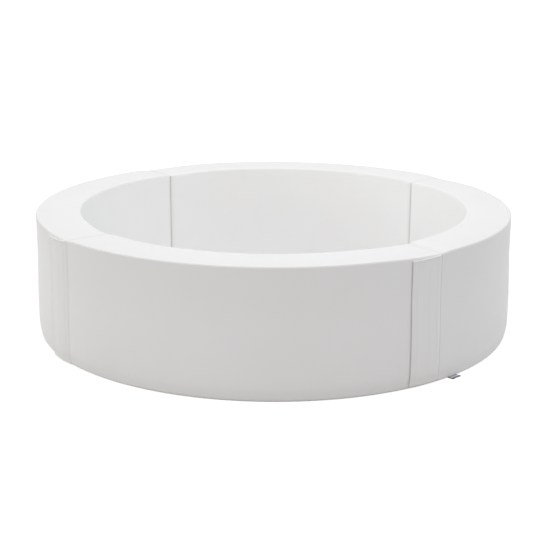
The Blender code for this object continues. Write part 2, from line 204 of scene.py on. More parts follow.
def writePoints(piece, points):
    piece.data.vertices.foreach_set("co", points.astype(np.float32).ravel())
    piece.data.update()


def storeMask(piece, name, values):
    mask = piece.data.attributes.new(name, "FLOAT", "POINT")
    mask.data.foreach_set("value", values.astype(np.float32))


def smoothStep(low, high, values):
    share = np.clip((values - low) / (high - low), 0, 1)
    return share * share * (3 - 2 * share)


def bell(away, width):
    return np.exp(-((away / width) ** 2))


def unevenness(points, size, seed):
    # soft noise from -1 to 1 with lumps of about that size
    shift = Vector([seed * part for part in seedShift])
    return np.array([noise.noise(Vector(point) / size + shift) for point in points])


def toPolar(points):
    return np.hypot(points[:, 0], points[:, 1]), np.arctan2(points[:, 1], points[:, 0]), points[:, 2]


def fromPolar(radius, turn, height):
    return np.stack([radius * np.cos(turn), radius * np.sin(turn), height], axis=1)


def repeatShape(source, places, name):
    # one mesh with a copy of the source shape at each matrix
    base = readPoints(source)
    faces = [list(face.vertices) for face in source.data.polygons]
    points, polygons = [], []
    for number, place in enumerate(places):
        points.append(base @ np.array(place.to_3x3()).T + np.array(place.translation))
        polygons += [[corner + number * len(base) for corner in face] for face in faces]
    mesh = bpy.data.meshes.new(name)
    mesh.from_pydata(np.concatenate(points).tolist(), [], polygons)
    mesh.update()
    return addObject(name, mesh)


# The foam settles: the outer wall swells near the base and the inner wall a little all over.
# The flaps draw the rim down beside the joints, and one joint is cut a little askew.
settling = {
    "outer": 5.0 * mm,
    "from": 310 * mm,
    "to": 110 * mm,
    "tuck": 0.5 * mm,
    "tuckTo": 45 * mm,
    "inner": 6.0 * mm,
    "innerFoot": 0.4,
    "innerRise": 60 * mm,
    "rimCrown": 1.0 * mm,
    "jointDip": 4.5 * mm,
    "dipFrom": 0.7,
    "dipUnderFlap": (10 * mm, 240 * mm),
    "dipPastRoot": (0 * mm, 55 * mm),
    "askew": 6.5 * mm,
    "askewJoint": 3,
    "askewReach": 160 * mm,
}


def outerSwell(height):
    swell = settling["outer"] * (1 - smoothStep(settling["to"], settling["from"], height))
    return swell - (settling["outer"] + settling["tuck"]) * (1 - smoothStep(0, settling["tuckTo"], height))


def jointDip(turn, height):
    half = ring["segmentAngle"] / 2
    turn = np.degrees(turn) - ring["firstJoint"]
    past = np.radians((turn + half) % ring["segmentAngle"] - half) * outerRadius
    underFlap = smoothStep(*settling["dipUnderFlap"], -past)
    share = 1 - np.where(past < 0, underFlap, smoothStep(*settling["dipPastRoot"], past))
    share = share * smoothStep(ring["height"] * settling["dipFrom"], ring["height"], height)
    return settling["jointDip"] * share


def askewTurn(turn):
    past = np.degrees(turn) - jointAngle(settling["askewJoint"])
    away = np.abs(np.radians((past + 180) % 360 - 180)) * innerRadius
    return -settling["askew"] / innerRadius * (1 - smoothStep(0, settling["askewReach"], away))


def settle(points):
    # moves points of the straight-walled shape to where the settled foam holds them
    radius, turn, height = toPolar(points)
    share = np.clip((radius - innerRadius) / ring["wall"], 0, 1)
    foot = settling["innerFoot"]
    inner = settling["inner"] * (foot + (1 - foot) * smoothStep(0, settling["innerRise"], height))
    moved = radius + outerSwell(height) * share - inner * (1 - share)
    crown = settling["rimCrown"] * 4 * share * (1 - share) * (height > ring["height"] / 2)
    return fromPolar(moved, turn + askewTurn(turn) * (1 - share), height + crown - jointDip(turn, height))


def wrapOnWall(piece, angle):
    # x runs clockwise along the outer wall from that angle, y out of the wall, z up
    along, out, height = readPoints(piece).T
    turn = math.radians(angle) - along / outerRadius
    writePoints(piece, fromPolar(outerRadius + out + outerSwell(height), turn, height))


def layOnWall(piece, angle, smoothAngle=None):
    wrapOnWall(piece, angle)
    faceOutwards(piece)
    smoothShade(piece, smoothAngle)


# Materials

def addNode(tree, kind, **settings):
    node = tree.nodes.new(kind)
    for setting, value in settings.items():
        setattr(node, setting, value)
    return node


def plug(tree, source, target):
    if hasattr(source, "links"):
        tree.links.new(source, target)
    else:
        target.default_value = source


def feed(tree, node, *values):
    for socket, value in zip(node.inputs, values):
        plug(tree, value, socket)
    return node.outputs


def calculate(tree, operation, *values, clamp=False):
    return feed(tree, addNode(tree, "ShaderNodeMath", operation=operation, use_clamp=clamp), *values)[0]


def vectorMath(tree, operation, *values):
    return feed(tree, addNode(tree, "ShaderNodeVectorMath", operation=operation), *values)


def splitVector(tree, vector):
    return feed(tree, addNode(tree, "ShaderNodeSeparateXYZ"), vector)


def mapRange(tree, value, fromMin, fromMax, toMin=0.0, toMax=1.0):
    return feed(tree, addNode(tree, "ShaderNodeMapRange"), value, fromMin, fromMax, toMin, toMax)[0]


def mixColours(tree, share, first, second):
    node = addNode(tree, "ShaderNodeMix", data_type="RGBA")
    plug(tree, share, node.inputs[0])
    plug(tree, first, node.inputs[6])
    plug(tree, second, node.inputs[7])
    return node.outputs[2]


def noiseValue(tree, vector, scale, detail=2.0, roughness=0.5):
    node = addNode(tree, "ShaderNodeTexNoise")
    plug(tree, vector, node.inputs["Vector"])
    plug(tree, scale, node.inputs["Scale"])
    node.inputs["Detail"].default_value = detail
    node.inputs["Roughness"].default_value = roughness
    return node.outputs["Fac"]


def cellTexture(tree, vector, scale, feature="F1"):
    node = addNode(tree, "ShaderNodeTexVoronoi", feature=feature)
    plug(tree, vector, node.inputs["Vector"])
    plug(tree, scale, node.inputs["Scale"])
    return node


def objectPlace(tree):
    return addNode(tree, "ShaderNodeTexCoord").outputs["Object"]


def readMask(tree, name):
    return addNode(tree, "ShaderNodeAttribute", attribute_name=name).outputs["Fac"]


def newGroup(name, inputs, outputs):
    # a tuple's socket is a vector
    group = bpy.data.node_groups.new(name, "ShaderNodeTree")
    for way, sockets in (("INPUT", inputs), ("OUTPUT", outputs)):
        for title, value in sockets.items():
            kind = "NodeSocketVector" if isinstance(value, tuple) else "NodeSocketFloat"
            socket = group.interface.new_socket(name=title, in_out=way, socket_type=kind)
            socket.default_value = value
    return group, addNode(group, "NodeGroupInput").outputs, addNode(group, "NodeGroupOutput")


def endGroup(group, end, **results):
    for title, source in results.items():
        group.links.new(source, end.inputs[title])
    return group


def useGroup(tree, group, **values):
    node = addNode(tree, "ShaderNodeGroup", node_tree=groups[group])
    for title, value in values.items():
        plug(tree, value, node.inputs[title])
    return node.outputs


def makeRingCoordinates():
    # where a point is on the ring: metres along it, its radius and its height
    group, start, end = newGroup("ringCoordinates", {}, {"Place": (0, 0, 0)})
    x, y, z = splitVector(group, objectPlace(group))
    along = calculate(group, "MULTIPLY", calculate(group, "ARCTAN2", y, x), outerRadius)
    squares = [calculate(group, "MULTIPLY", side, side) for side in (x, y)]
    radius = calculate(group, "SQRT", calculate(group, "ADD", *squares))
    joined = feed(group, addNode(group, "ShaderNodeCombineXYZ"), along, radius, z)
    return endGroup(group, end, Place=joined[0])


grainLook = {"rounding": 0.6, "fineness": 1.7, "fineHeight": 0.35, "patchesPerMetre": 23.0, "fineGloss": 0.3}


def makeLeatherGrain():
    group, start, end = newGroup("leatherGrain", {"Grains per metre": 800.0}, {"Height": 0.0, "Gloss": 0.0})
    place = objectPlace(group)
    size = start["Grains per metre"]
    cells = cellTexture(group, place, size, "SMOOTH_F1")
    cells.inputs["Smoothness"].default_value = grainLook["rounding"]
    fineSize = calculate(group, "MULTIPLY", size, grainLook["fineness"])
    fine = noiseValue(group, place, fineSize, detail=3.0, roughness=0.6)
    pebbles = calculate(group, "SUBTRACT", 1.0, cells.outputs["Distance"])
    height = calculate(group, "MULTIPLY_ADD", fine, grainLook["fineHeight"], pebbles)
    patches = noiseValue(group, place, grainLook["patchesPerMetre"], detail=3.0, roughness=0.6)
    fineGloss = calculate(group, "MULTIPLY", fine, grainLook["fineGloss"])
    gloss = calculate(group, "MULTIPLY_ADD", patches, 1 - grainLook["fineGloss"], fineGloss)
    return endGroup(group, end, Height=height, Gloss=gloss)


rimCreaseShade = {
    "from": 12 * mm,
    "to": 6 * mm,
    "bend": 8 * mm,
    "bendsPerMetre": 12.0,
    "breaksPerMetre": 30.0,
    "breaks": (0.35, 0.55),
}


def makeJointCreaseShade():
    # a faint crease on the rim, beside and along each joint between the segments, painted as a line of shade
    group, start, end = newGroup("jointCrease", {"Distance": 18 * mm, "Width": 2.6 * mm}, {"Mask": 0.0})
    place = objectPlace(group)
    x, y, z = splitVector(group, place)
    quarter = math.radians(ring["segmentAngle"])
    # four quarters more keep the angle above zero
    zero = math.radians(ring["firstJoint"]) - quarter / 2 - 4 * quarter
    turn = calculate(group, "SUBTRACT", calculate(group, "ARCTAN2", y, x), zero)
    turn = calculate(group, "SUBTRACT", calculate(group, "MODULO", turn, quarter), quarter / 2)
    bend = noiseValue(group, place, rimCreaseShade["bendsPerMetre"])
    bend = calculate(group, "MULTIPLY", bend, rimCreaseShade["bend"])
    past = calculate(group, "MULTIPLY_ADD", turn, middleRadius, bend)
    gap = calculate(group, "ABSOLUTE", calculate(group, "SUBTRACT", past, start["Distance"]))
    line = mapRange(group, gap, 0.0, start["Width"], 1.0, 0.0)
    onTop = mapRange(group, z, ring["height"] - rimCreaseShade["from"], ring["height"] - rimCreaseShade["to"])
    broken = mapRange(group, noiseValue(group, place, rimCreaseShade["breaksPerMetre"]), *rimCreaseShade["breaks"])
    mask = calculate(group, "MULTIPLY", line, calculate(group, "MULTIPLY", onTop, broken))
    return endGroup(group, end, Mask=mask)


soilingAndShadeLook = {
    "marksPerMetre": 5.0,
    "marks": (0.52, 0.78),
    "gritPerMetre": 60.0,
    "grit": (0.3, 0.7, 0.5, 1.0),
    "ragged": 12 * mm,
}


def makeSoilingAndShade():
    # faint handling marks, one spot, and a darkening near the base that is part floor dust and part painted
    # shade where the wall meets the floor
    inputs = {"Marks": 0.5, "Dust height": 12 * mm}
    inputs.update({"Spot place": (-0.47, -0.635, 0.1), "Spot size": 28 * mm, "Spot": 0.14})
    group, start, end = newGroup("soiling", inputs, {"Mask": 0.0})
    place = objectPlace(group)
    broad = noiseValue(group, place, soilingAndShadeLook["marksPerMetre"], detail=4.0, roughness=0.62)
    marks = calculate(group, "MULTIPLY", mapRange(group, broad, *soilingAndShadeLook["marks"]), start["Marks"])
    # darker towards the base: floor dust and painted shade
    dustAndShade = mapRange(group, splitVector(group, place)["Z"], 0.0, start["Dust height"], 1.0, 0.0)
    grit = noiseValue(group, place, soilingAndShadeLook["gritPerMetre"], detail=3.0, roughness=0.6)
    dustAndShade = calculate(group, "MULTIPLY", dustAndShade, mapRange(group, grit, *soilingAndShadeLook["grit"]))
    away = vectorMath(group, "DISTANCE", place, start["Spot place"])["Value"]
    ragged = calculate(group, "MULTIPLY_ADD", grit, soilingAndShadeLook["ragged"], away)
    spot = calculate(group, "MULTIPLY", mapRange(group, ragged, start["Spot size"], 0.0), start["Spot"])
    marks = calculate(group, "MAXIMUM", marks, spot)
    return endGroup(group, end, Mask=calculate(group, "MAXIMUM", marks, dustAndShade, clamp=True))


def makeWeave():
    # threads along and across a tape, from its place on the ring
    group, start, end = newGroup(
        "tapeWeave", {"Place": (0, 0, 0), "Thread": 0.7 * mm}, {"Height": 0.0, "Shade": 0.0}
    )
    x, y, z = splitVector(group, start["Place"])
    waves = []
    for value in (x, calculate(group, "ADD", y, z)):
        turns = calculate(group, "DIVIDE", value, start["Thread"])
        waves.append(calculate(group, "SINE", calculate(group, "MULTIPLY", turns, 2 * math.pi)))
    height = calculate(group, "MULTIPLY", *waves)
    return endGroup(group, end, Height=height, Shade=mapRange(group, height, -1.0, 1.0))


groups = {
    "place": makeRingCoordinates(),
    "grain": makeLeatherGrain(),
    "soiling": makeSoilingAndShade(),
    "crease": makeJointCreaseShade(),
    "weave": makeWeave(),
}


def newMaterial(name, roughness):
    material = bpy.data.materials.new(name)
    material.use_nodes = True
    tree = material.node_tree
    shader = tree.nodes["Principled BSDF"]
    shader.inputs["Roughness"].default_value = roughness
    return material, tree, shader


def addBump(tree, shader, height, depth, before=None):
    bump = addNode(tree, "ShaderNodeBump")
    bump.inputs["Distance"].default_value = depth
    plug(tree, height, bump.inputs["Height"])
    if before is not None:
        tree.links.new(before, bump.inputs["Normal"])
    tree.links.new(bump.outputs["Normal"], shader.inputs["Normal"])
    return bump.outputs["Normal"]


def dress(tree, shader, colour, height, depth, roughness=None):
    tree.links.new(colour, shader.inputs["Base Color"])
    if roughness is not None:
        tree.links.new(roughness, shader.inputs["Roughness"])
    return addBump(tree, shader, height, depth)


leather = {
    "colour": (0.868, 0.868, 0.864, 1),
    "warmer": (0.860, 0.857, 0.846, 1),
    "soiledAndShaded": (0.70, 0.69, 0.66, 1),
    "crease": (0.50, 0.47, 0.41, 1),
    "roughness": (0.42, 0.54),
    "gloss": (0.3, 0.7),
    "tonesPerMetre": 3.0,
    "tones": (0.35, 0.65),
    "soiling": 0.35,
    "marks": 0.12,
    "dustHeight": 14 * mm,
    "rimCreaseShade": 0.42,
    "grainsPerMetre": 850.0,
    "grainDepth": 0.05 * mm,
    "puckerDepth": 0.4 * mm,
    "puckersPerMetre": 95.0,
    "puckerStretch": (1.0, 0.2, 0.2),
}


def makeLeather():
    material, tree, shader = newMaterial("fauxLeather", roughness=0.46)
    tones = noiseValue(tree, objectPlace(tree), leather["tonesPerMetre"], detail=3.0, roughness=0.55)
    tones = mapRange(tree, tones, *leather["tones"])
    colour = mixColours(tree, tones, leather["colour"], leather["warmer"])
    # marks and a spot, and a darkening near the base that is floor dust and painted shade
    amounts = {"Marks": leather["marks"], "Dust height": leather["dustHeight"]}
    share = calculate(tree, "MULTIPLY", useGroup(tree, "soiling", **amounts)["Mask"], leather["soiling"])
    colour = mixColours(tree, share, colour, leather["soiledAndShaded"])
    # painted shade in a darker warm colour: seam grooves, joints, beside the flaps, the contact shadow at
    # the base and the creases by the joints on the rim
    fold = useGroup(tree, "crease")["Mask"]
    crease = calculate(tree, "MULTIPLY_ADD", fold, leather["rimCreaseShade"], readMask(tree, "crease"))
    colour = mixColours(tree, crease, colour, leather["crease"])
    grain = useGroup(tree, "grain", **{"Grains per metre": leather["grainsPerMetre"]})
    gloss = mapRange(tree, grain["Gloss"], *leather["gloss"], *leather["roughness"])
    coarse = dress(tree, shader, colour, grain["Height"], leather["grainDepth"], gloss)
    # puckers beside the seams, where the thread draws the leather in
    stretched = addNode(tree, "ShaderNodeMapping")
    tree.links.new(useGroup(tree, "place")["Place"], stretched.inputs["Vector"])
    stretched.inputs["Scale"].default_value = leather["puckerStretch"]
    ripple = noiseValue(tree, stretched.outputs[0], leather["puckersPerMetre"], detail=1.0, roughness=0.4)
    puckers = calculate(tree, "MULTIPLY", ripple, readMask(tree, "nearSeam"))
    addBump(tree, shader, puckers, leather["puckerDepth"], coarse)
    return material


foamLook = {
    # painted shade in the foam's pores
    "pitShade": (0.55, 0.52, 0.42, 1),
    "skin": (0.82, 0.80, 0.70, 1),
    "aged": (0.80, 0.74, 0.55, 1),
    "ageing": 0.3,
    "cellsPerMetre": 900.0,
    "pitEdge": 0.45,
    "patchesPerMetre": 6.0,
    "patches": (0.4, 0.7),
    "depth": 0.5 * mm,
}


def makeFoam():
    material, tree, shader = newMaterial("openCellFoam", roughness=0.95)
    place = objectPlace(tree)
    cells = cellTexture(tree, place, foamLook["cellsPerMetre"])
    pits = mapRange(tree, cells.outputs["Distance"], 0.0, foamLook["pitEdge"])
    # the pores are painted darker: painted shade
    colour = mixColours(tree, pits, foamLook["pitShade"], foamLook["skin"])
    patches = noiseValue(tree, place, foamLook["patchesPerMetre"], detail=3.0)
    patches = mapRange(tree, patches, *foamLook["patches"])
    share = calculate(tree, "MULTIPLY", patches, foamLook["ageing"])
    dress(tree, shader, mixColours(tree, share, colour, foamLook["aged"]), pits, foamLook["depth"])
    return material


tapeLooks = {
    "hook": {
        "name": "hookTape", "thread": 1.6 * mm, "depth": 0.14 * mm, "pile": 0.6,
        "colour": (0.84, 0.84, 0.82, 1), "shadow": (0.64, 0.64, 0.62, 1),
    },
    "loop": {
        "name": "loopTape", "thread": 1.1 * mm, "depth": 0.1 * mm, "pile": 1.5,
        "colour": (0.88, 0.88, 0.86, 1), "shadow": (0.72, 0.72, 0.70, 1),
    },
    "zipTape": {
        "name": "zipTape", "thread": 0.8 * mm, "depth": 0.12 * mm, "pile": 0.3,
        "colour": (0.82, 0.82, 0.80, 1), "shadow": (0.58, 0.58, 0.56, 1),
    },
}
tapeWear = {
    "fuzzPerMetre": 1500.0,
    "fuzz": (0.3, 0.7),
    "fuzzShare": 0.5,
    "wearPerMetre": 40.0,
    "wear": (0.3, 0.7),
    "roughness": (0.74, 0.92),
}


def makeTape(name, thread, depth, pile, colour, shadow):
    # woven tape, with the fuzz of loops or the rows of hooks as its pile
    material, tree, shader = newMaterial(name, roughness=0.82)
    weave = useGroup(tree, "weave", Place=useGroup(tree, "place")["Place"], Thread=thread)
    place = objectPlace(tree)
    fuzz = noiseValue(tree, place, tapeWear["fuzzPerMetre"], detail=3.0, roughness=0.7)
    height = calculate(tree, "MULTIPLY_ADD", fuzz, pile, weave["Height"])
    fuzzShare = tapeWear["fuzzShare"]
    threads = calculate(tree, "MULTIPLY", weave["Shade"], 1 - fuzzShare)
    share = calculate(tree, "MULTIPLY_ADD", mapRange(tree, fuzz, *tapeWear["fuzz"]), fuzzShare, threads)
    worn = noiseValue(tree, place, tapeWear["wearPerMetre"], detail=3.0)
    worn = mapRange(tree, worn, *tapeWear["wear"], *tapeWear["roughness"])
    dress(tree, shader, mixColours(tree, share, shadow, colour), height, depth, worn)
    return material


fibreLooks = {
    "thread": {
        "name": "polyesterThread", "roughness": 0.55, "strandsPerMetre": 2600.0, "depth": 0.1 * mm,
        "dark": (0.78, 0.78, 0.76, 1), "light": (0.88, 0.88, 0.87, 1),
    },
    "nylon": {
        "name": "zipNylon", "roughness": 0.38, "strandsPerMetre": 300.0, "depth": 0.05 * mm,
        "dark": (0.74, 0.74, 0.73, 1), "light": (0.84, 0.84, 0.83, 1),
    },
}


def makeFibre(name, roughness, strandsPerMetre, depth, dark, light):
    material, tree, shader = newMaterial(name, roughness)
    strands = noiseValue(tree, objectPlace(tree), strandsPerMetre)
    dress(tree, shader, mixColours(tree, strands, dark, light), strands, depth)
    return material


enamelLook = {
    "enamel": (0.80, 0.80, 0.79, 1),
    "bare": (0.52, 0.51, 0.49, 1),
    "bareMetallic": 0.85,
    "roughness": (0.30, 0.44),
    "wearPerMetre": 420.0,
    "wornFrom": 0.56,
    "wornTo": 0.68,
    "depth": -0.05 * mm,
}


def makeEnamel():
    # white enamelled zinc, a little worn where it rubs
    material, tree, shader = newMaterial("enamelledMetal", roughness=0.32)
    wear = noiseValue(tree, objectPlace(tree), enamelLook["wearPerMetre"], detail=4.0, roughness=0.65)
    rubbed = mapRange(tree, wear, enamelLook["wornFrom"], enamelLook["wornTo"])
    metallic = mapRange(tree, rubbed, 0.0, 1.0, 0.0, enamelLook["bareMetallic"])
    tree.links.new(metallic, shader.inputs["Metallic"])
    colour = mixColours(tree, rubbed, enamelLook["enamel"], enamelLook["bare"])
    roughness = mapRange(tree, rubbed, 0.0, 1.0, *enamelLook["roughness"])
    dress(tree, shader, colour, rubbed, enamelLook["depth"], roughness)
    return material


tagLook = {
    "white": ((0.80, 0.82, 0.86, 1), (0.88, 0.90, 0.93, 1)),
    "navy": ((0.010, 0.022, 0.055, 1), (0.020, 0.045, 0.10, 1)),
    "roughness": (0.62, 0.48),
    "thread": 0.5 * mm,
    "depth": 0.06 * mm,
}


def makeTagFabric():
    # satin tape with one plain woven band
    material, tree, shader = newMaterial("tagSatin", roughness=0.55)
    weave = useGroup(tree, "weave", Place=useGroup(tree, "place")["Place"], Thread=tagLook["thread"])
    white, navy = [mixColours(tree, weave["Shade"], *tagLook[tone]) for tone in ("white", "navy")]
    roughness = mapRange(tree, weave["Shade"], 0.0, 1.0, *tagLook["roughness"])
    # navy is mixed in for the woven band and the dark edge, and partly for painted shade near the root
    colour = mixColours(tree, readMask(tree, "band"), white, navy)
    dress(tree, shader, colour, weave["Height"], tagLook["depth"], roughness)
    return material


finishes = {"leather": makeLeather(), "foam": makeFoam(), "enamel": makeEnamel(), "tag": makeTagFabric()}
finishes.update({title: makeTape(**look) for title, look in tapeLooks.items()})
finishes.update({title: makeFibre(**look) for title, look in fibreLooks.items()})
print("materials made:", len(finishes))


def finishPiece(piece, finish, body, replaced=()):
    piece.data.materials.clear()
    piece.data.materials.append(finishes[finish])
    if body:
        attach(piece, body)
    if replaced:
        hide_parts(*replaced)


# Covers: sewn cases of faux leather, open along a slot in the base for the zip
cover = {
    "inset": 0 * mm,
    "rimRounding": 4 * mm,
    "baseRounding": 9 * mm,
    "edgeCuts": 4,
    "wallCuts": 29,
    "topCuts": 11,
    "steps": 96,
    "endRounding": 2.2 * mm,
    "endCuts": 2,
    "endHem": 1.5 * mm,
    "endCorners": 12,
    "joinGap": 0.02 * mm,
    "slotWidth": 17 * mm,
    "slotSteps": 8,
    "lipHeight": 7.5 * mm,
    "leatherThickness": 1.2 * mm,
    "fill": 0.95,
}
stepAngle = sweep / cover["steps"]

# The foam presses the leather out between its seams.
puff = {
    "border": 16 * mm,
    "wallDepth": 2 * mm,
    "sewnBelow": 0.25,
    "crown": 1.0 * mm,
    "frames": 20,
    "cloth": {
        "quality": 4,
        "mass": 0.3,
        "tension_stiffness": 30,
        "compression_stiffness": 30,
        "shear_stiffness": 15,
        "bending_stiffness": 3,
        "use_pressure": True,
        "uniform_pressure_force": 4.0,
        "vertex_group_mass": "sewn",
    },
}

seam = {
    "depth": 0.6 * mm,
    "reach": 1.0 * mm,
    "margin": 0.3 * mm,
    "slotHeight": 8 * mm,
    "allowance": 9 * mm,
    "allowanceFade": 5 * mm,
    "allowanceFrom": (-3 * mm, 2 * mm),
    "allowanceRise": 0.3 * mm,
    "wave": 0.5 * mm,
    "waveLength": 220 * mm,
    "fineWave": 0.35,
    "fineLength": 60 * mm,
    "puckers": 14 * mm,
    "endPuckers": 12 * mm,
}

# The painted shade: dark lines and shadows painted into the leather's colour; 1 is the full painted shade
# colour
shade = {
    "seam": 0.3,
    "joint": 0.5,
    "jointReach": 1.6 * mm,
    "innerJoint": 0.15,
    "innerDepth": 6 * mm,
    "flapSide": (0.0, 0.5, 0.4, 0.4),
    "flapReach": 10 * mm,
    "flapDepth": 4 * mm,
    "broad": (0.0, 0.0, 0.2, 0.0),
    "broadReach": 11 * mm,
    "foot": 1.0,
    "footRise": 5 * mm,
    "footDepth": 12 * mm,
}

# The strips are this far from the joint along the wall. The flap holds the cover flat there.
strip = {
    "start": 45 * mm,
    "width": 50 * mm,
    "bottom": 20 * mm,
    "top": 375 * mm,
    "thickness": 1.0 * mm,
    "loopLift": 0.3 * mm,
    "hookLift": 1.6 * mm,
    "corner": 2.5 * mm,
    "cornerCuts": 2,
    "columns": 16,
    "rows": 60,
    "selvedge": 1.6 * mm,
    "selvedgeHeight": 0.35 * mm,
    "stitchInset": 0.9 * mm,
    "stitchHeight": 0.45 * mm,
}
stripEnd = strip["start"] + strip["width"]


def makeProfile(name, form):
    # the wall's cross-section as a loop of edges, standing on the +X axis
    inset = form["inset"]
    place = (middleRadius, 0, ring["height"] / 2)
    piece = addUpright(name, place, ring["wall"] - 2 * inset, ring["height"] - 2 * inset)
    startEdit(piece)
    pick(piece, "verts", lambda corner: corner.co.z > ring["height"] / 2)
    bpy.ops.mesh.bevel(offset=form["rimRounding"], segments=form["edgeCuts"], affect="VERTICES")
    pick(piece, "verts", lambda corner: corner.co.z < inset + mm)
    bpy.ops.mesh.bevel(offset=form["baseRounding"], segments=form["edgeCuts"], affect="VERTICES")
    selectAll()
    bpy.ops.mesh.delete(type="ONLY_FACE")
    for side, cuts in ((ring["height"], form["wallCuts"]), (ring["wall"], form["topCuts"])):
        pick(piece, "edges", lambda edge: edge.calc_length() > side / 2)
        bpy.ops.mesh.subdivide(number_cuts=cuts)
    return piece


def moveBasePoints(piece, nearest, farthest, halfWidth):
    # points of the base between those distances from its middle line go to the slot's edges
    shape = bmesh.from_edit_mesh(piece.data)
    for corner in shape.verts:
        aside = corner.co.x - middleRadius
        if corner.co.z < baseLevel and nearest < abs(aside) < farthest:
            corner.co.x = middleRadius + math.copysign(halfWidth, aside)
    bmesh.update_edit_mesh(piece.data)


def spinProfile(steps, degrees):
    # turns the loop of edges counter-clockwise about the ring's axis
    selectAll()
    bpy.ops.mesh.spin(
        steps=steps, angle=-math.radians(degrees), center=(0, 0, 0), axis=(0, 0, 1), dupli=False
    )
    selectAll()
    bpy.ops.mesh.remove_doubles(threshold=weldDistance)


def turnOf(point):
    return math.degrees(math.atan2(point.y, point.x))


def isAtEnd(edge):
    turns = [turnOf(corner.co) for corner in edge.verts]
    return [all(abs(turn - end) < endTolerance for turn in turns) for end in (0, sweep)]


def spinSegment(piece, form):
    # a closed quarter of the ring with rounded ends
    spinProfile(form["steps"], sweep)
    for end in (0, 1):
        pick(piece, "edges", lambda edge: edge.is_boundary and isAtEnd(edge)[end])
        bpy.ops.mesh.edge_face_add()
    selectAll()
    bpy.ops.mesh.normals_make_consistent(inside=False)
    pick(piece, "edges", lambda edge: any(isAtEnd(edge)))
    bpy.ops.mesh.bevel(offset=form["endRounding"], segments=form["endCuts"], affect="EDGES")


def makeCoverBlank():
    blank = makeProfile("coverBlank", cover)
    halfSlot = cover["slotWidth"] / 2
    spacing = (ring["wall"] - 2 * cover["baseRounding"]) / (cover["topCuts"] + 1)
    moveBasePoints(blank, spacing / 2, spacing * 1.5, halfSlot)
    spinSegment(blank, cover)
    # only the panels that close the ends have more corners than that
    pick(blank, "faces", lambda face: len(face.verts) > cover["endCorners"])
    bpy.ops.mesh.inset(thickness=cover["endHem"])

    def inSlot(face):
        middle = face.calc_center_median()
        aside = abs(math.hypot(middle.x, middle.y) - middleRadius)
        first = stepAngle * cover["slotSteps"]
        return middle.z < weldDistance and aside < halfSlot and first < turnOf(middle) < sweep - first

    pick(blank, "faces", inSlot)
    bpy.ops.mesh.delete(type="FACE")
    pick(blank, "edges", lambda edge: edge.is_boundary)
    bpy.ops.mesh.extrude_edges_move(TRANSFORM_OT_translate={"value": (0, 0, cover["lipHeight"])})
    endEdit()
    return blank


def ringPlaces(points, first=0.0):
    # radius, degrees past the segment's first end, height
    radius, turn, height = toPolar(points)
    turn = (np.degrees(turn) - (first + sweep / 2) + 180) % 360 - 180 + sweep / 2
    return radius, turn, height


def endDistance(radius, turn):
    return np.radians(np.minimum(turn, sweep - turn)) * radius


def freeShare(points, first=0.0):
    # 1 in the middle of a panel, 0 at its seams, at the ends, on the floor and under the strips
    radius, turn, height = ringPlaces(points, first)
    border = puff["border"]
    fromOuter = outerRadius - radius
    fromSide = np.minimum(fromOuter, radius - innerRadius)
    onTop = height > ring["height"] - cover["rimRounding"] / 2
    acrossTop = smoothStep(0, border, fromSide - cover["rimRounding"])
    upWall = np.minimum(height - cover["baseRounding"], ring["height"] - height - cover["rimRounding"])
    share = np.where(onTop, acrossTop, smoothStep(0, border, upWall))
    share = np.where(onTop | (fromSide < puff["wallDepth"]), share, 0)
    share = share * smoothStep(0, 2 * border, endDistance(radius, turn))
    fromJoint = np.radians(sweep - turn) * outerRadius
    held = smoothStep(0, border, fromJoint)
    held = held - smoothStep(stripEnd + border / 2, stripEnd + 2 * border, fromJoint)
    return np.where(fromOuter < puff["wallDepth"], share * (1 - held), share)


def puffCover(blank):
    # a cloth simulation with pressure, kept to a small crown
    rest = readPoints(blank)
    free = freeShare(rest)
    sewn = blank.vertex_groups.new(name="sewn")
    for number, share in enumerate(free):
        sewn.add([number], 1.0 if share < puff["sewnBelow"] else 0.0, "REPLACE")
    scene = bpy.context.scene
    modifier = blank.modifiers.new("Cloth", "CLOTH")
    for setting, value in puff["cloth"].items():
        setattr(modifier.settings, setting, value)
    modifier.settings.effector_weights.gravity = 0
    modifier.collision_settings.use_collision = False
    modifier.point_cache.frame_start = 1
    modifier.point_cache.frame_end = puff["frames"]
    for number in range(1, puff["frames"] + 1):
        scene.frame_set(number)
    makeActive(blank)
    bpy.ops.object.modifier_apply(modifier=modifier.name)
    scene.frame_set(1)
    moved = readPoints(blank) - rest
    size = np.linalg.norm(moved, axis=1)
    print("cloth moved the cover by", round(float(size.max()) / mm, 2), "mm before it was capped")
    moved *= puff["crown"] / max(size.max(), puff["crown"])
    writePoints(blank, rest + moved * free[:, None])


def findSeams(radius, height):
    # how much of a seam's groove and of its puckers each point has
    groove, near = np.zeros(len(radius)), np.zeros(len(radius))
    for wall, side in ((outerRadius, 1), (innerRadius, -1)):
        for edge, up, end in ((ring["height"], 1, "rimRounding"), (0, -1, "baseRounding")):
            rounding = cover[end]
            out = (radius - wall) * side + rounding
            rise = (height - edge) * up + rounding
            atCorner = (out > -seam["margin"]) & (rise > -seam["margin"])
            angle = np.arctan2(np.maximum(rise, 0), np.maximum(out, 1e-9))
            gap = np.where(atCorner, np.abs(angle - math.pi / 4) * rounding, 1.0)
            groove = np.maximum(groove, bell(gap, seam["reach"]))
            near = np.maximum(near, bell(np.hypot(radius - wall, height - edge), seam["puckers"]))
    inSlot = (height < seam["slotHeight"]) & (np.abs(radius - middleRadius) < cover["slotWidth"] / 2 + mm)
    return np.where(inSlot, 0, groove), near


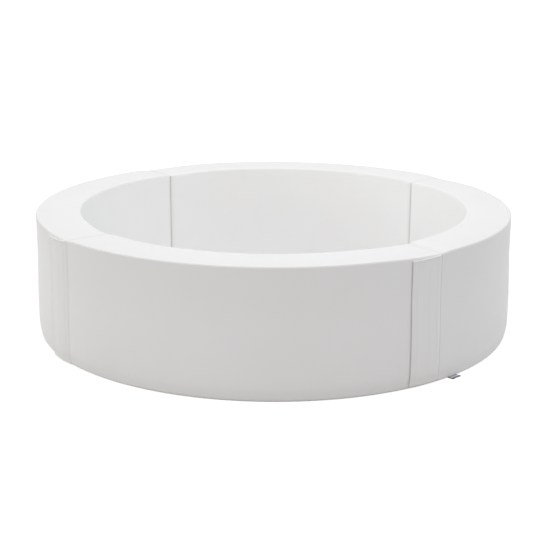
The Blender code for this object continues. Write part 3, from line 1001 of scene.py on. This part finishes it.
def shadeCover(segment, radius, turn, height, fromEnd, groove):
    # the joint's painted shadow is broader on the inner wall, where the ends don't quite meet
    onInner = 1 - smoothStep(innerRadius, innerRadius + shade["innerDepth"], radius)
    joint = bell(fromEnd, shade["jointReach"] * (1 + onInner))
    inward = outerRadius - radius
    # painted shadow on the cover beside each flap's root
    atFlap = (fromEnd < shade["flapReach"]) & (turn < sweep / 2) & (inward < shade["flapDepth"])
    strength = shade["joint"] + shade["innerJoint"] * onInner
    joint = joint * np.where(atFlap, shade["flapSide"][segment], strength)
    # the panels that close the ends get no painted shade
    depth = np.minimum.reduce([inward, radius - innerRadius, ring["height"] - height, height])
    joint = joint * (1 - smoothStep(cover["endRounding"], cover["endRounding"] + cover["endHem"], depth))
    # a broader painted shade at the inner ends of some segments
    broad = shade["broad"][segment] * onInner * bell(fromEnd, shade["broadReach"])
    # the base is painted darkest where it meets the floor: a painted contact shadow
    foot = shade["foot"] * (1 - smoothStep(0, shade["footRise"], height)) * (inward < shade["footDepth"])
    return np.clip(np.maximum.reduce([shade["seam"] * groove, joint, broad, foot]), 0, 1)


def sewCover(piece, segment):
    # seams along the long edges, the step of the seam allowance, slight unevenness
    first = jointAngle(segment) + gapAngle
    points, normals = readPoints(piece), readNormals(piece)
    radius, turn, height = ringPlaces(points, first)
    groove, near = findSeams(radius, height)
    fromEnd = endDistance(radius, turn)
    onTop = (height > ring["height"] - mm) & (fromEnd > cover["endRounding"])
    fromEdge = np.minimum(outerRadius - radius, radius - innerRadius) - cover["rimRounding"]
    rise = smoothStep(seam["allowance"], seam["allowance"] + seam["allowanceFade"], fromEdge)
    rise = seam["allowanceRise"] * (1 - rise) * smoothStep(*seam["allowanceFrom"], fromEdge)
    wave = unevenness(points, seam["waveLength"], segment)
    wave = wave + seam["fineWave"] * unevenness(points, seam["fineLength"], segment + 7)
    move = np.where(onTop, rise, 0) - seam["depth"] * groove + seam["wave"] * wave * freeShare(points, first)
    points = points + normals * move[:, None]
    # the ends of two segments press together
    reach = math.radians(sweep / 2) * middleRadius
    share = 1 + (ring["jointGap"] - cover["joinGap"]) / reach
    angle = np.radians(first + sweep / 2 + (turn - sweep / 2) * share)
    radius = np.hypot(points[:, 0], points[:, 1])
    writePoints(piece, settle(fromPolar(radius, angle, points[:, 2])))
    storeMask(piece, "crease", shadeCover(segment, radius, turn, height, fromEnd, groove))
    storeMask(piece, "nearSeam", np.clip(np.maximum(near, bell(fromEnd, seam["endPuckers"])), 0, 1))


def makeCovers():
    blank = makeCoverBlank()
    puffCover(blank)
    applyModifier(blank, "SUBSURF", levels=1, render_levels=1)
    for segment, name in enumerate(ring["segments"]):
        piece = copyToSegment(blank, "coverSkin", segment)
        sewCover(piece, segment)
        applyModifier(
            piece, "SOLIDIFY", thickness=cover["leatherThickness"], offset=-1, use_even_offset=False
        )
        smoothShade(piece)
        finishPiece(piece, "leather", f"segment_{name}", [f"cover_{name}"])
    removePiece(blank)
    print("covers sewn")


makeCovers()

# Foam cores
foam = {
    "inset": 1.5 * mm,
    "rimRounding": 3 * mm,
    "baseRounding": 7.5 * mm,
    "edgeCuts": 3,
    "wallCuts": 20,
    "topCuts": 2,
    "steps": 60,
    "endRounding": 3.4 * mm,
    "endCuts": 2,
    "groove": 13.5 * mm,
    "grooveTop": 10.3 * mm,
    "cutDepth": 0.25 * mm,
    "cutLumps": 50 * mm,
    "smoothAngle": 30,
    "fill": 1.0,
}


def makeFoamBlank():
    blank = makeProfile("foamBlank", foam)
    moveBasePoints(blank, 0, ring["wall"] / 3, foam["groove"])

    def besideGroove(corner):
        return corner.co.z < baseLevel and abs(corner.co.x - middleRadius) < foam["groove"] + mm

    pick(blank, "verts", besideGroove)
    rise = foam["grooveTop"] - foam["inset"]
    bpy.ops.mesh.extrude_vertices_move(TRANSFORM_OT_translate={"value": (0, 0, rise)})
    bpy.ops.mesh.edge_face_add()
    pick(blank, "edges", lambda edge: all(besideGroove(corner) for corner in edge.verts))
    bpy.ops.mesh.delete(type="EDGE")
    spinSegment(blank, foam)
    endEdit()
    # the core is a little shorter than its cover
    radius, turn, height = ringPlaces(readPoints(blank))
    share = 1 - foam["inset"] / (math.radians(sweep / 2) * middleRadius)
    writePoints(blank, fromPolar(radius, np.radians(sweep / 2 + (turn - sweep / 2) * share), height))
    return blank


def makeFoamCores():
    blank = makeFoamBlank()
    for segment, name in enumerate(ring["segments"]):
        piece = copyToSegment(blank, "foamBlock", segment)
        points, normals = readPoints(piece), readNormals(piece)
        cut = foam["cutDepth"] * (unevenness(points, foam["cutLumps"], segment + 3) - 1)
        writePoints(piece, settle(points + normals * cut[:, None]))
        smoothShade(piece, foam["smoothAngle"])
        finishPiece(piece, "foam", f"segment_{name}", [f"foam_core_{name}"])
    removePiece(blank)
    print("foam cut")


makeFoamCores()

# Thread: every visible stitch is a short bead of thread, modelled once
stitch = {
    "length": 3.1 * mm,
    "spacing": 4.0 * mm,
    "thickness": 0.62 * mm,
    "lift": 0.12 * mm,
    "sides": 6,
    "rings": 5,
}


def makeStitchBlank():
    deselectAll()
    bpy.ops.mesh.primitive_uv_sphere_add(segments=stitch["sides"], ring_count=stitch["rings"], radius=0.5)
    blank = takeNew("stitchBlank")
    blank.data.transform(Matrix.Rotation(math.pi / 2, 4, "Y"))
    blank.data.transform(Matrix.Diagonal((stitch["length"], stitch["thickness"], stitch["thickness"], 1)))
    return blank


stitchBlank = makeStitchBlank()


def sewThread(name, runs, lift):
    # stitches along lines between two places on a flat panel; lift(x, z) is the surface there
    places = []
    for start, end in runs:
        run = Vector((end[0] - start[0], 0, end[1] - start[1]))
        count = max(1, round(run.length / stitch["spacing"]))
        tilt = Matrix.Rotation(-math.atan2(run.z, run.x), 4, "Y")
        for number in range(count):
            share = (number + 0.5) / count
            x, z = start[0] + run.x * share, start[1] + run.z * share
            places.append(Matrix.Translation((x, lift(x, z), z)) @ tilt)
    return repeatShape(stitchBlank, places, name)


def stripRuns(inset):
    # the four lines round a strip, that far inside its edge
    first, last = strip["start"] + inset, stripEnd - inset
    low, high = strip["bottom"] + inset, strip["top"] - inset
    return [
        ((first, low), (first, high)),
        ((last, low), (last, high)),
        ((first, low), (last, low)),
        ((first, high), (last, high)),
    ]


# Flaps: double leather, sewn into the end of a segment and laid over its clockwise neighbour
flap = {
    "root": -1.0 * mm,
    "hem": 1.5 * mm,
    "rootEdge": 0.3 * mm,
    "skive": 9 * mm,
    "rise": (42 * mm, 15 * mm, 25 * mm, 25 * mm),
    "width": 110 * mm,
    "thickness": 2.4 * mm,
    "lift": 2.9 * mm,
    "hemLift": 0.08 * mm,
    "bottom": 3.5 * mm,
    "rootTop": 395.5 * mm,
    "freeTop": 390.5 * mm,
    "topBend": 0.5,
    "columns": 44,
    "rows": 110,
    "corner": 5 * mm,
    "cornerCuts": 3,
    "edgeSwell": 1.6,
    "edgeReach": 3.2 * mm,
    "topHem": 1.5,
    "topHemMiddle": 2 * mm,
    "topHemReach": 2.6 * mm,
    "bend": 14 * mm,
    "blendHeight": 200 * mm,
    "footRise": (0 * mm, 6 * mm, 3 * mm, 3 * mm),
    "footFade": 90 * mm,
    "rootReach": (1.7 * mm, 0 * mm, 0 * mm, 0 * mm),
    "rootFade": 14 * mm,
}
flapStitch = {
    "inset": 5.5 * mm,
    "stripInset": 2.5 * mm,
    "rootLine": 15 * mm,
    "edgeLine": 18 * mm,
    "depth": 0.12 * mm,
    "reach": 1.5 * mm,
}
flapShade = {
    "root": (0.0, 0.5, 0.3, 0.3),
    "rootReach": 1.5 * mm,
    "foot": (0.08, 0.5, 0.3, 0.3),
    "footFade": (10 * mm, 85 * mm),
    "stitches": 0.05,
    "puckers": 9 * mm,
}

# How the flap's leather lies: curled edges, the hook strip that shows through, ripples, folds that
# run down from the top of the root, and small folds along the top hem
drape = {
    "curl": -0.5 * mm,
    "curlReach": 24 * mm,
    "topCurl": 0.5 * mm,
    "topCurlReach": 22 * mm,
    "topCurlFade": (4 * mm, 40 * mm),
    "panel": 0.2 * mm,
    "panelFrom": (-3 * mm, 1 * mm),
    "panelTo": (-1 * mm, 3 * mm),
    "ripple": 0.35 * mm,
    "rippleLength": 16 * mm,
    "rippleStretch": 0.12,
    "rippleShift": 0.7,
    "rippleFade": 20 * mm,
    "fold": 0.3 * mm,
    "foldsPerRadian": 11,
    "foldMiddle": 30 * mm,
    "foldReach": 24 * mm,
    "foldFade": (4 * mm, 18 * mm),
    "hemFold": 0.4 * mm,
    "hemSpacing": 8 * mm,
    "hemMiddle": 12 * mm,
    "hemReach": 5 * mm,
    "hemFade": (2 * mm, 10 * mm),
    "hemEnd": (35 * mm, 80 * mm),
}


def flapTop(along):
    share = np.maximum(along - flap["root"], 0) / (flap["width"] - flap["root"])
    return flap["rootTop"] + (flap["freeTop"] - flap["rootTop"]) * share ** flap["topBend"]


def flapMiddle(along, height, segment):
    # how far the middle of the flap's leather lies off the wall
    seed = segment + 2
    low = flap["hemLift"] + flap["rootEdge"] / 2
    high = flap["lift"] + flap["thickness"] / 2
    middle = low + (high - low) * smoothStep(flap["root"], flap["rise"][segment], along)
    middle = middle + drape["curl"] * smoothStep(flap["width"] - drape["curlReach"], flap["width"], along)
    fromTop = flapTop(along) - height
    curled = drape["topCurl"] * (1 - smoothStep(0, drape["topCurlReach"], fromTop))
    middle = middle + curled * smoothStep(*drape["topCurlFade"], along)
    panel = smoothStep(*drape["panelFrom"], along - strip["start"])
    middle = middle + drape["panel"] * (panel - smoothStep(*drape["panelTo"], along - stripEnd))
    shift = np.full_like(along, seed * drape["rippleShift"])
    spots = np.stack([along, shift, height * drape["rippleStretch"]], axis=1)
    rippled = drape["ripple"] * unevenness(spots, drape["rippleLength"], seed)
    middle = middle + rippled * smoothStep(0, drape["rippleFade"], along)
    drop = flap["rootTop"] - height
    fan = np.arctan2(drop, np.maximum(along - flap["root"], 1e-6))
    away = np.hypot(drop, along - flap["root"]) - drape["foldMiddle"]
    folds = np.sin(fan * drape["foldsPerRadian"] + seed) * bell(away, drape["foldReach"])
    middle = middle + drape["fold"] * folds * smoothStep(*drape["foldFade"], along)
    hems = np.sin(2 * math.pi * fromTop / drape["hemSpacing"])
    hems = hems * bell(fromTop - drape["hemMiddle"], drape["hemReach"])
    fade = smoothStep(*drape["hemFade"], along) * (1 - smoothStep(*drape["hemEnd"], along))
    return middle + drape["hemFold"] * hems * fade


def fitFlap(points, segment):
    # some flaps are shorter at the foot, and the front one's root reaches over the joint
    along, height = points[:, 0], points[:, 2]
    atFoot = 1 - smoothStep(flap["bottom"], flap["footFade"], height)
    atRoot = 1 - smoothStep(flap["root"], flap["root"] + flap["rootFade"], along)
    fitted = points.copy()
    fitted[:, 0] = along - flap["rootReach"][segment] * atRoot
    fitted[:, 2] = height + flap["footRise"][segment] * atFoot
    return fitted


def flapRuns():
    inset, rootLine, edgeLine = flapStitch["inset"], flapStitch["rootLine"], flapStitch["edgeLine"]
    freeEdge = flap["width"] - inset
    base, top = flap["bottom"] + inset, flapTop(freeEdge) - inset
    return [
        ((rootLine, base), (rootLine, flapTop(rootLine) - inset)),
        ((edgeLine, flapTop(edgeLine) - inset), (freeEdge, top)),
        ((freeEdge, base), (freeEdge, top)),
        ((edgeLine, base), (freeEdge, base)),
    ] + stripRuns(flapStitch["stripInset"])


def makeFlapBlank():
    # the panel is made one unit high, and then reaches from the foot to its sloping top
    span = flap["width"] - flap["root"] + flap["hem"]
    middle = (flap["width"] - span / 2, 0, 0.5)
    blank = addUpright("flapBlank", middle, span, 1, flap["columns"], flap["rows"])
    points = readPoints(blank)
    points[:, 2] = flap["bottom"] + (flapTop(points[:, 0]) - flap["bottom"]) * points[:, 2]
    writePoints(blank, points)
    startEdit(blank)
    levels = (flap["bottom"], flap["freeTop"])
    roundCorners(blank, [flap["width"]], levels, flap["corner"], flap["cornerCuts"])
    endEdit()
    applyModifier(blank, "SOLIDIFY", thickness=flap["thickness"], offset=0)
    applyModifier(blank, "SUBSURF", levels=1, render_levels=1)
    return blank


def shapeFlap(piece, segment):
    points = readPoints(piece)
    along, side, height = points[:, 0], points[:, 1] / (flap["thickness"] / 2), points[:, 2]
    fromTop = flapTop(along) - height
    fromEdge = np.minimum(flap["width"] - along, np.minimum(height - flap["bottom"], fromTop))
    swell = 1 + (flap["edgeSwell"] - 1) * bell(fromEdge, flap["edgeReach"])
    # its top hem is turned in and fuller
    swell = swell + flap["topHem"] * bell(fromTop - flap["topHemMiddle"], flap["topHemReach"])
    # the leather is skived thin where it is sewn in
    skived = 1 - smoothStep(flap["root"], flap["root"] + flap["skive"], along)
    swell = swell * (1 - skived) + skived * flap["rootEdge"] / flap["thickness"]
    groove = np.zeros(len(points))
    for (x0, z0), (x1, z1) in flapRuns():
        run = np.array([x1 - x0, z1 - z0])
        share = np.clip(((along - x0) * run[0] + (height - z0) * run[1]) / (run @ run), 0, 1)
        gap = np.hypot(along - x0 - share * run[0], height - z0 - share * run[1])
        groove = np.maximum(groove, bell(gap, flapStitch["reach"]))
    out = flapMiddle(along, height, segment) + side * swell * flap["thickness"] / 2
    out = out - np.where(side > 0, flapStitch["depth"] * groove, 0)
    shaped = np.stack([along, np.maximum(out, flap["hemLift"]), height], axis=1)
    writePoints(piece, fitFlap(shaped, segment))
    # painted shade along the flap's root, stronger near the foot on some flaps, and a little in the stitch
    # grooves
    foot = 1 - smoothStep(*flapShade["footFade"], height)
    dark = np.maximum(flapShade["root"][segment], flapShade["foot"][segment] * foot)
    dark = dark * bell(along - flap["root"], flapShade["rootReach"])
    storeMask(piece, "crease", np.clip(flapShade["stitches"] * groove * (side > 0) + dark, 0, 1))
    storeMask(piece, "nearSeam", bell(fromEdge, flapShade["puckers"]))


def makeFlaps():
    blank = makeFlapBlank()
    for segment, name in enumerate(ring["segments"]):
        joint = jointAngle(segment)
        piece = copyPiece(blank, f"flapPanel_{name}")
        shapeFlap(piece, segment)
        layOnWall(piece, joint)

        def outside(x, z):
            middle = flapMiddle(np.array([x]), np.array([z]), segment)[0]
            return middle + flap["thickness"] / 2 - flapStitch["depth"] + stitch["lift"]

        thread = sewThread(f"flapStitching_{name}", flapRuns(), outside)
        writePoints(thread, fitFlap(readPoints(thread), segment))
        wrapOnWall(thread, joint)
        smoothShade(thread)
        finishPiece(piece, "leather", None, [f"flap_{name}"])
        finishPiece(thread, "thread", None)
        for part in (piece, thread):
            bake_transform(part)
    removePiece(blank)
    print("flaps sewn")


makeFlaps()


def raiseFace(amount):
    bpy.ops.mesh.extrude_region_move(TRANSFORM_OT_translate={"value": (0, amount, 0)})


def makeStripBlank(name, lift):
    # a tape of the strip's size, with a thin woven edge around its raised face
    width, height = strip["width"], strip["top"] - strip["bottom"]
    middle = (strip["start"] + width / 2, lift, strip["bottom"] + height / 2)
    blank = addUpright(name, middle, width, height, strip["columns"], strip["rows"])
    startEdit(blank)
    ends, levels = (strip["start"], stripEnd), (strip["bottom"], strip["top"])
    roundCorners(blank, ends, levels, strip["corner"], strip["cornerCuts"])
    selectAll()
    raiseFace(strip["selvedgeHeight"])
    bpy.ops.mesh.inset(thickness=strip["selvedge"])
    raiseFace(strip["thickness"] - strip["selvedgeHeight"])
    endEdit()
    faceOutwards(blank)
    return blank


def makeStrips():
    loop = makeStripBlank("loopBlank", strip["loopLift"])
    hook = makeStripBlank("hookBlank", strip["hookLift"])
    # the hook tape's raised face looks at the wall
    points = readPoints(hook)
    points[:, 1] = 2 * strip["hookLift"] + strip["thickness"] - points[:, 1]
    writePoints(hook, points)
    for segment, name in enumerate(ring["segments"]):
        tapes = ((loop, "loop", segment + 1, "segment"), (hook, "hook", segment, "flap"))
        for blank, kind, joint, body in tapes:
            piece = copyPiece(blank, f"{kind}Tape_{name}")
            layOnWall(piece, jointAngle(joint), tapeSmoothing)
            finishPiece(piece, kind, f"{body}_{name}", [f"{kind}_strip_{name}"])
        level = strip["loopLift"] + strip["stitchHeight"]
        thread = sewThread(f"loopStitching_{name}", stripRuns(strip["stitchInset"]), lambda x, z: level)
        wrapOnWall(thread, jointAngle(segment + 1))
        smoothShade(thread)
        finishPiece(thread, "thread", f"segment_{name}")
    removePiece(loop)
    removePiece(hook)
    print("hook and loop strips sewn")


makeStrips()

# Zips in the base: two tapes with rows of teeth, and the CAD slider and pull
zipper = {
    "tapeWidth": 24 * mm,
    "tapeBase": 7.8 * mm,
    "tapeThickness": 0.6 * mm,
    "gap": 1.6 * mm,
    "toothBase": 5.6 * mm,
    "toothRise": 1.0 * mm,
    "toothPitch": 2.0 * mm,
    "toothOuter": 2.9 * mm,
    "toothInner": 0.42 * mm,
    "toothWidth": 0.95 * mm,
    "toothHeight": 1.5 * mm,
    "toothHem": 0.22 * mm,
    "toothBulge": 0.2 * mm,
    "toothSides": 6,
    "toothSmoothing": 60,
    "firstTooth": 0.2,
    "endSteps": 4,
    "metalEdge": 0.15 * mm,
    "metalCuts": 2,
}


def makeTapes():
    pieces = []
    first = stepAngle * zipper["endSteps"]
    inner, outer = zipper["gap"] / 2, zipper["tapeWidth"] / 2
    level = zipper["tapeBase"] + zipper["tapeThickness"] / 2
    for side in (-1, 1):
        middle = (middleRadius + side * (inner + outer) / 2, 0, level)
        piece = addUpright("tapeBlank", middle, outer - inner, zipper["tapeThickness"])
        piece.data.transform(Matrix.Rotation(math.radians(first), 4, "Z"))
        startEdit(piece)
        spinProfile(cover["steps"] - 2 * zipper["endSteps"], sweep - 2 * first)
        endEdit()
        faceOutwards(piece)
        pieces.append(piece)
    makeActive(pieces[0])
    pieces[1].select_set(True)
    bpy.ops.object.join()
    return bpy.context.object


def makeToothBlank():
    # one wire loop of the coil, drawn along +X
    deselectAll()
    length = zipper["toothOuter"] - zipper["toothInner"]
    turn = (0, math.pi / 2, 0)
    bpy.ops.mesh.primitive_cylinder_add(vertices=zipper["toothSides"], radius=0.5, depth=1, rotation=turn)
    blank = takeNew("toothBlank")
    blank.data.transform(Matrix.Diagonal((length, zipper["toothWidth"], zipper["toothHeight"], 1)))
    startEdit(blank)
    pick(blank, "faces", lambda face: len(face.verts) == zipper["toothSides"])
    bpy.ops.mesh.inset(thickness=zipper["toothHem"], depth=zipper["toothBulge"])
    endEdit()
    smoothShade(blank, zipper["toothSmoothing"])
    return blank


def makeTeeth():
    tooth = makeToothBlank()
    first = stepAngle * (cover["slotSteps"] + zipper["firstTooth"])
    count = int(math.radians(sweep - 2 * first) * middleRadius / zipper["toothPitch"])
    reach = (zipper["toothOuter"] + zipper["toothInner"]) / 2
    level = zipper["toothBase"] + zipper["toothRise"]
    places = []
    for number in range(count):
        # the two rows are half a pitch apart
        for side, offset in ((-1, 0.25), (1, 0.75)):
            angle = math.radians(first) + (number + offset) * zipper["toothPitch"] / middleRadius
            place = Matrix.Translation((middleRadius + side * reach, 0, level))
            places.append(Matrix.Rotation(angle, 4, "Z") @ place)
    teeth = repeatShape(tooth, places, "teethBlank")
    removePiece(tooth)
    return teeth


def finishMetal(node):
    node.data.materials.clear()
    node.data.materials.append(finishes["enamel"])
    weld = node.modifiers.new("Weld", "WELD")
    weld.merge_threshold = weldDistance
    edges = node.modifiers.new("Bevel", "BEVEL")
    edges.width = zipper["metalEdge"]
    edges.segments = zipper["metalCuts"]
    edges.limit_method = "ANGLE"


def makeZips():
    tape, teeth = makeTapes(), makeTeeth()
    for segment, name in enumerate(ring["segments"]):
        for source, title, finish, replaced in (
            (tape, "zipTape", "zipTape", [f"zip_{name}"]),
            (teeth, "zipTeeth", "nylon", ()),
        ):
            piece = copyToSegment(source, title, segment)
            finishPiece(piece, finish, f"segment_{name}", replaced)
            smoothShade(piece, tapeSmoothing)
        for part in ("zip_slider", "zip_pull"):
            finishMetal(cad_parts[f"{part}_{name}"])
    removePiece(tape)
    removePiece(teeth)
    print("zips made")


makeZips()

# The folded tag that lies on the floor beside the right segment
tag = {
    "start": 54 * mm,
    "width": 42 * mm,
    "rootOut": -5 * mm,
    "reach": 15 * mm,
    "startReach": 3 * mm,
    "columns": 24,
    "rows": 56,
    "fold": 0.32 * mm,
    "thickness": 0.26 * mm,
    "floorGap": 0.25 * mm,
    "edge": 4 * mm,
    "bandFrom": 7.5 * mm,
    "bandTo": 13.8 * mm,
    "weaveEdge": 0.3 * mm,
    "rootShade": 0.35,
    "rootShadeTo": (5.5 * mm, 6.5 * mm),
    "waveFrom": 4 * mm,
    "wave": 0.9 * mm,
    "waveTurn": 4.2,
    "waveStart": 0.6,
}


def tagBandAndShade(out, across):
    # the woven band, the dark edge of the first short side and a strip of painted shade near the root, where
    # the tag goes under the wall
    soft, past = tag["weaveEdge"], out + tag["rootOut"]
    band = smoothStep(tag["bandFrom"] - soft, tag["bandFrom"], past)
    band = band - smoothStep(tag["bandTo"], tag["bandTo"] + soft, past)
    band = np.maximum(band, 1 - smoothStep(tag["edge"] - soft, tag["edge"], across))
    return np.maximum(band, tag["rootShade"] * (1 - smoothStep(*tag["rootShadeTo"], out)))


def makeTag():
    deselectAll()
    length = tag["reach"] - tag["rootOut"]
    half = math.pi * tag["fold"]
    cut = 2 * length + half
    bpy.ops.mesh.primitive_grid_add(x_subdivisions=tag["columns"], y_subdivisions=tag["rows"], size=1)
    piece = takeNew("careTag", (tag["width"], cut, 1))
    points = readPoints(piece)
    across = points[:, 0] + tag["width"] / 2
    run = points[:, 1] + cut / 2
    turn = np.clip((run - length) / half, 0, 1) * math.pi
    out = np.where(run > length + half, 2 * length + half - run, length + tag["fold"] * np.sin(turn))
    out = np.where(run < length, run, out)
    level = tag["floorGap"] + tag["fold"] - tag["fold"] * np.cos(turn)
    band = tagBandAndShade(out, across)
    wave = np.sin(across / tag["width"] * tag["waveTurn"] + tag["waveStart"])
    level = level + smoothStep(tag["waveFrom"], length, out) * (tag["wave"] + tag["wave"] * wave)
    # its first short side reaches farther over the floor
    out = out * (1 + tag["startReach"] / length * (1 - across / tag["width"]))
    writePoints(piece, np.stack([-(tag["start"] + across), tag["rootOut"] + out, level], axis=1))
    storeMask(piece, "band", band)
    applyModifier(piece, "SOLIDIFY", thickness=tag["thickness"], offset=0)
    layOnWall(piece, jointAngle(ring["segments"].index("right")))
    finishPiece(piece, "tag", "segment_right", ["care_label"])
    print("tag folded")


makeTag()
removePiece(stitchBlank)

# The studio: a pale floor, a soft lamp over the pit, a soft sky that is strongest on the left
studio = {
    "floorSize": 60.0,
    "floorColour": (0.60, 0.595, 0.585, 1),
    "pitColour": (0.90, 0.90, 0.90, 1),
    "seenFloor": 0.75,
    "above": (0.512, 0.468, 0.546),
    "right": (0.62, 0.683, 0.67),
    "front": (0.551, 0.528, 0.486),
    "left": (1.87, 1.965, 1.85),
    "leftFocus": 4.0,
    "lampColour": (0.95, 1.0, 0.96),
    "lampPower": 18.4,
    "lampHeight": 2.6,
    "lampSize": 1.0,
}
camera = {
    "place": (0, -4.0005, 1.2941),
    "pitch": 0.27387,
    "yaw": 0.00288,
    "roll": 0.0025,
    "lens": 80.745,
    "sensor": 36.0,
    "farthest": 100,
}


def seenDirectly(tree):
    # 1 for what the camera sees, also in gloss and through glass
    path = addNode(tree, "ShaderNodeLightPath")
    seen = calculate(tree, "MAXIMUM", path.outputs["Is Camera Ray"], path.outputs["Is Glossy Ray"])
    return calculate(tree, "MAXIMUM", seen, path.outputs["Is Transmission Ray"])


def makeFloor():
    deselectAll()
    bpy.ops.mesh.primitive_plane_add(size=studio["floorSize"], location=(0, 0, 0))
    floor = takeNew("studioFloor")
    material, tree, shader = newMaterial("studioPaper", roughness=0.9)
    # the paper inside the ring is paler, so that it throws more light back on the inner wall
    distance = vectorMath(tree, "LENGTH", objectPlace(tree))["Value"]
    outside = mapRange(tree, distance, innerRadius, outerRadius)
    colour = mixColours(tree, outside, studio["pitColour"], studio["floorColour"])
    tree.links.new(colour, shader.inputs["Base Color"])
    shader.inputs["Specular IOR Level"].default_value = 0.0
    shader.inputs["Emission Color"].default_value = (1, 1, 1, 1)
    lift = calculate(tree, "MULTIPLY", seenDirectly(tree), studio["seenFloor"])
    tree.links.new(lift, shader.inputs["Emission Strength"])
    floor.data.materials.append(material)


def makeSky():
    world = bpy.data.worlds.new("softStudio")
    bpy.context.scene.world = world
    world.use_nodes = True
    tree = world.node_tree
    x, y, z = splitVector(tree, addNode(tree, "ShaderNodeTexCoord").outputs["Generated"])
    left = calculate(tree, "MULTIPLY", x, -1.0, clamp=True)
    sides = {
        "above": calculate(tree, "MAXIMUM", z, 0.0),
        "right": calculate(tree, "MAXIMUM", x, 0.0),
        "front": calculate(tree, "MULTIPLY", y, -1.0, clamp=True),
        "left": calculate(tree, "POWER", left, studio["leftFocus"]),
    }
    total = (0.0, 0.0, 0.0)
    for side, share in sides.items():
        total = vectorMath(tree, "MULTIPLY_ADD", share, studio[side], total)[0]
    sky = mixColours(tree, seenDirectly(tree), total, (1, 1, 1, 1))
    tree.links.new(sky, tree.nodes["Background"].inputs["Color"])


def makeLamp():
    data = bpy.data.lights.new("softLamp", "AREA")
    data.shape = "DISK"
    data.size = studio["lampSize"]
    data.color = studio["lampColour"]
    data.energy = studio["lampPower"]
    addObject("softLamp", data).location = (0, 0, studio["lampHeight"])


def makeCamera():
    data = bpy.data.cameras.new("photoCamera")
    data.lens = camera["lens"]
    data.sensor_width = camera["sensor"]
    data.clip_end = camera["farthest"]
    item = addObject("photoCamera", data)
    item.matrix_world = (
        Matrix.Translation(camera["place"])
        @ Matrix.Rotation(camera["yaw"], 4, "Z")
        @ Matrix.Rotation(math.pi / 2 - camera["pitch"], 4, "X")
        @ Matrix.Rotation(camera["roll"], 4, "Z")
    )
    bpy.context.scene.camera = item


makeFloor()
makeSky()
makeLamp()
makeCamera()
bpy.context.scene.view_settings.view_transform = "Standard"
print("studio set")
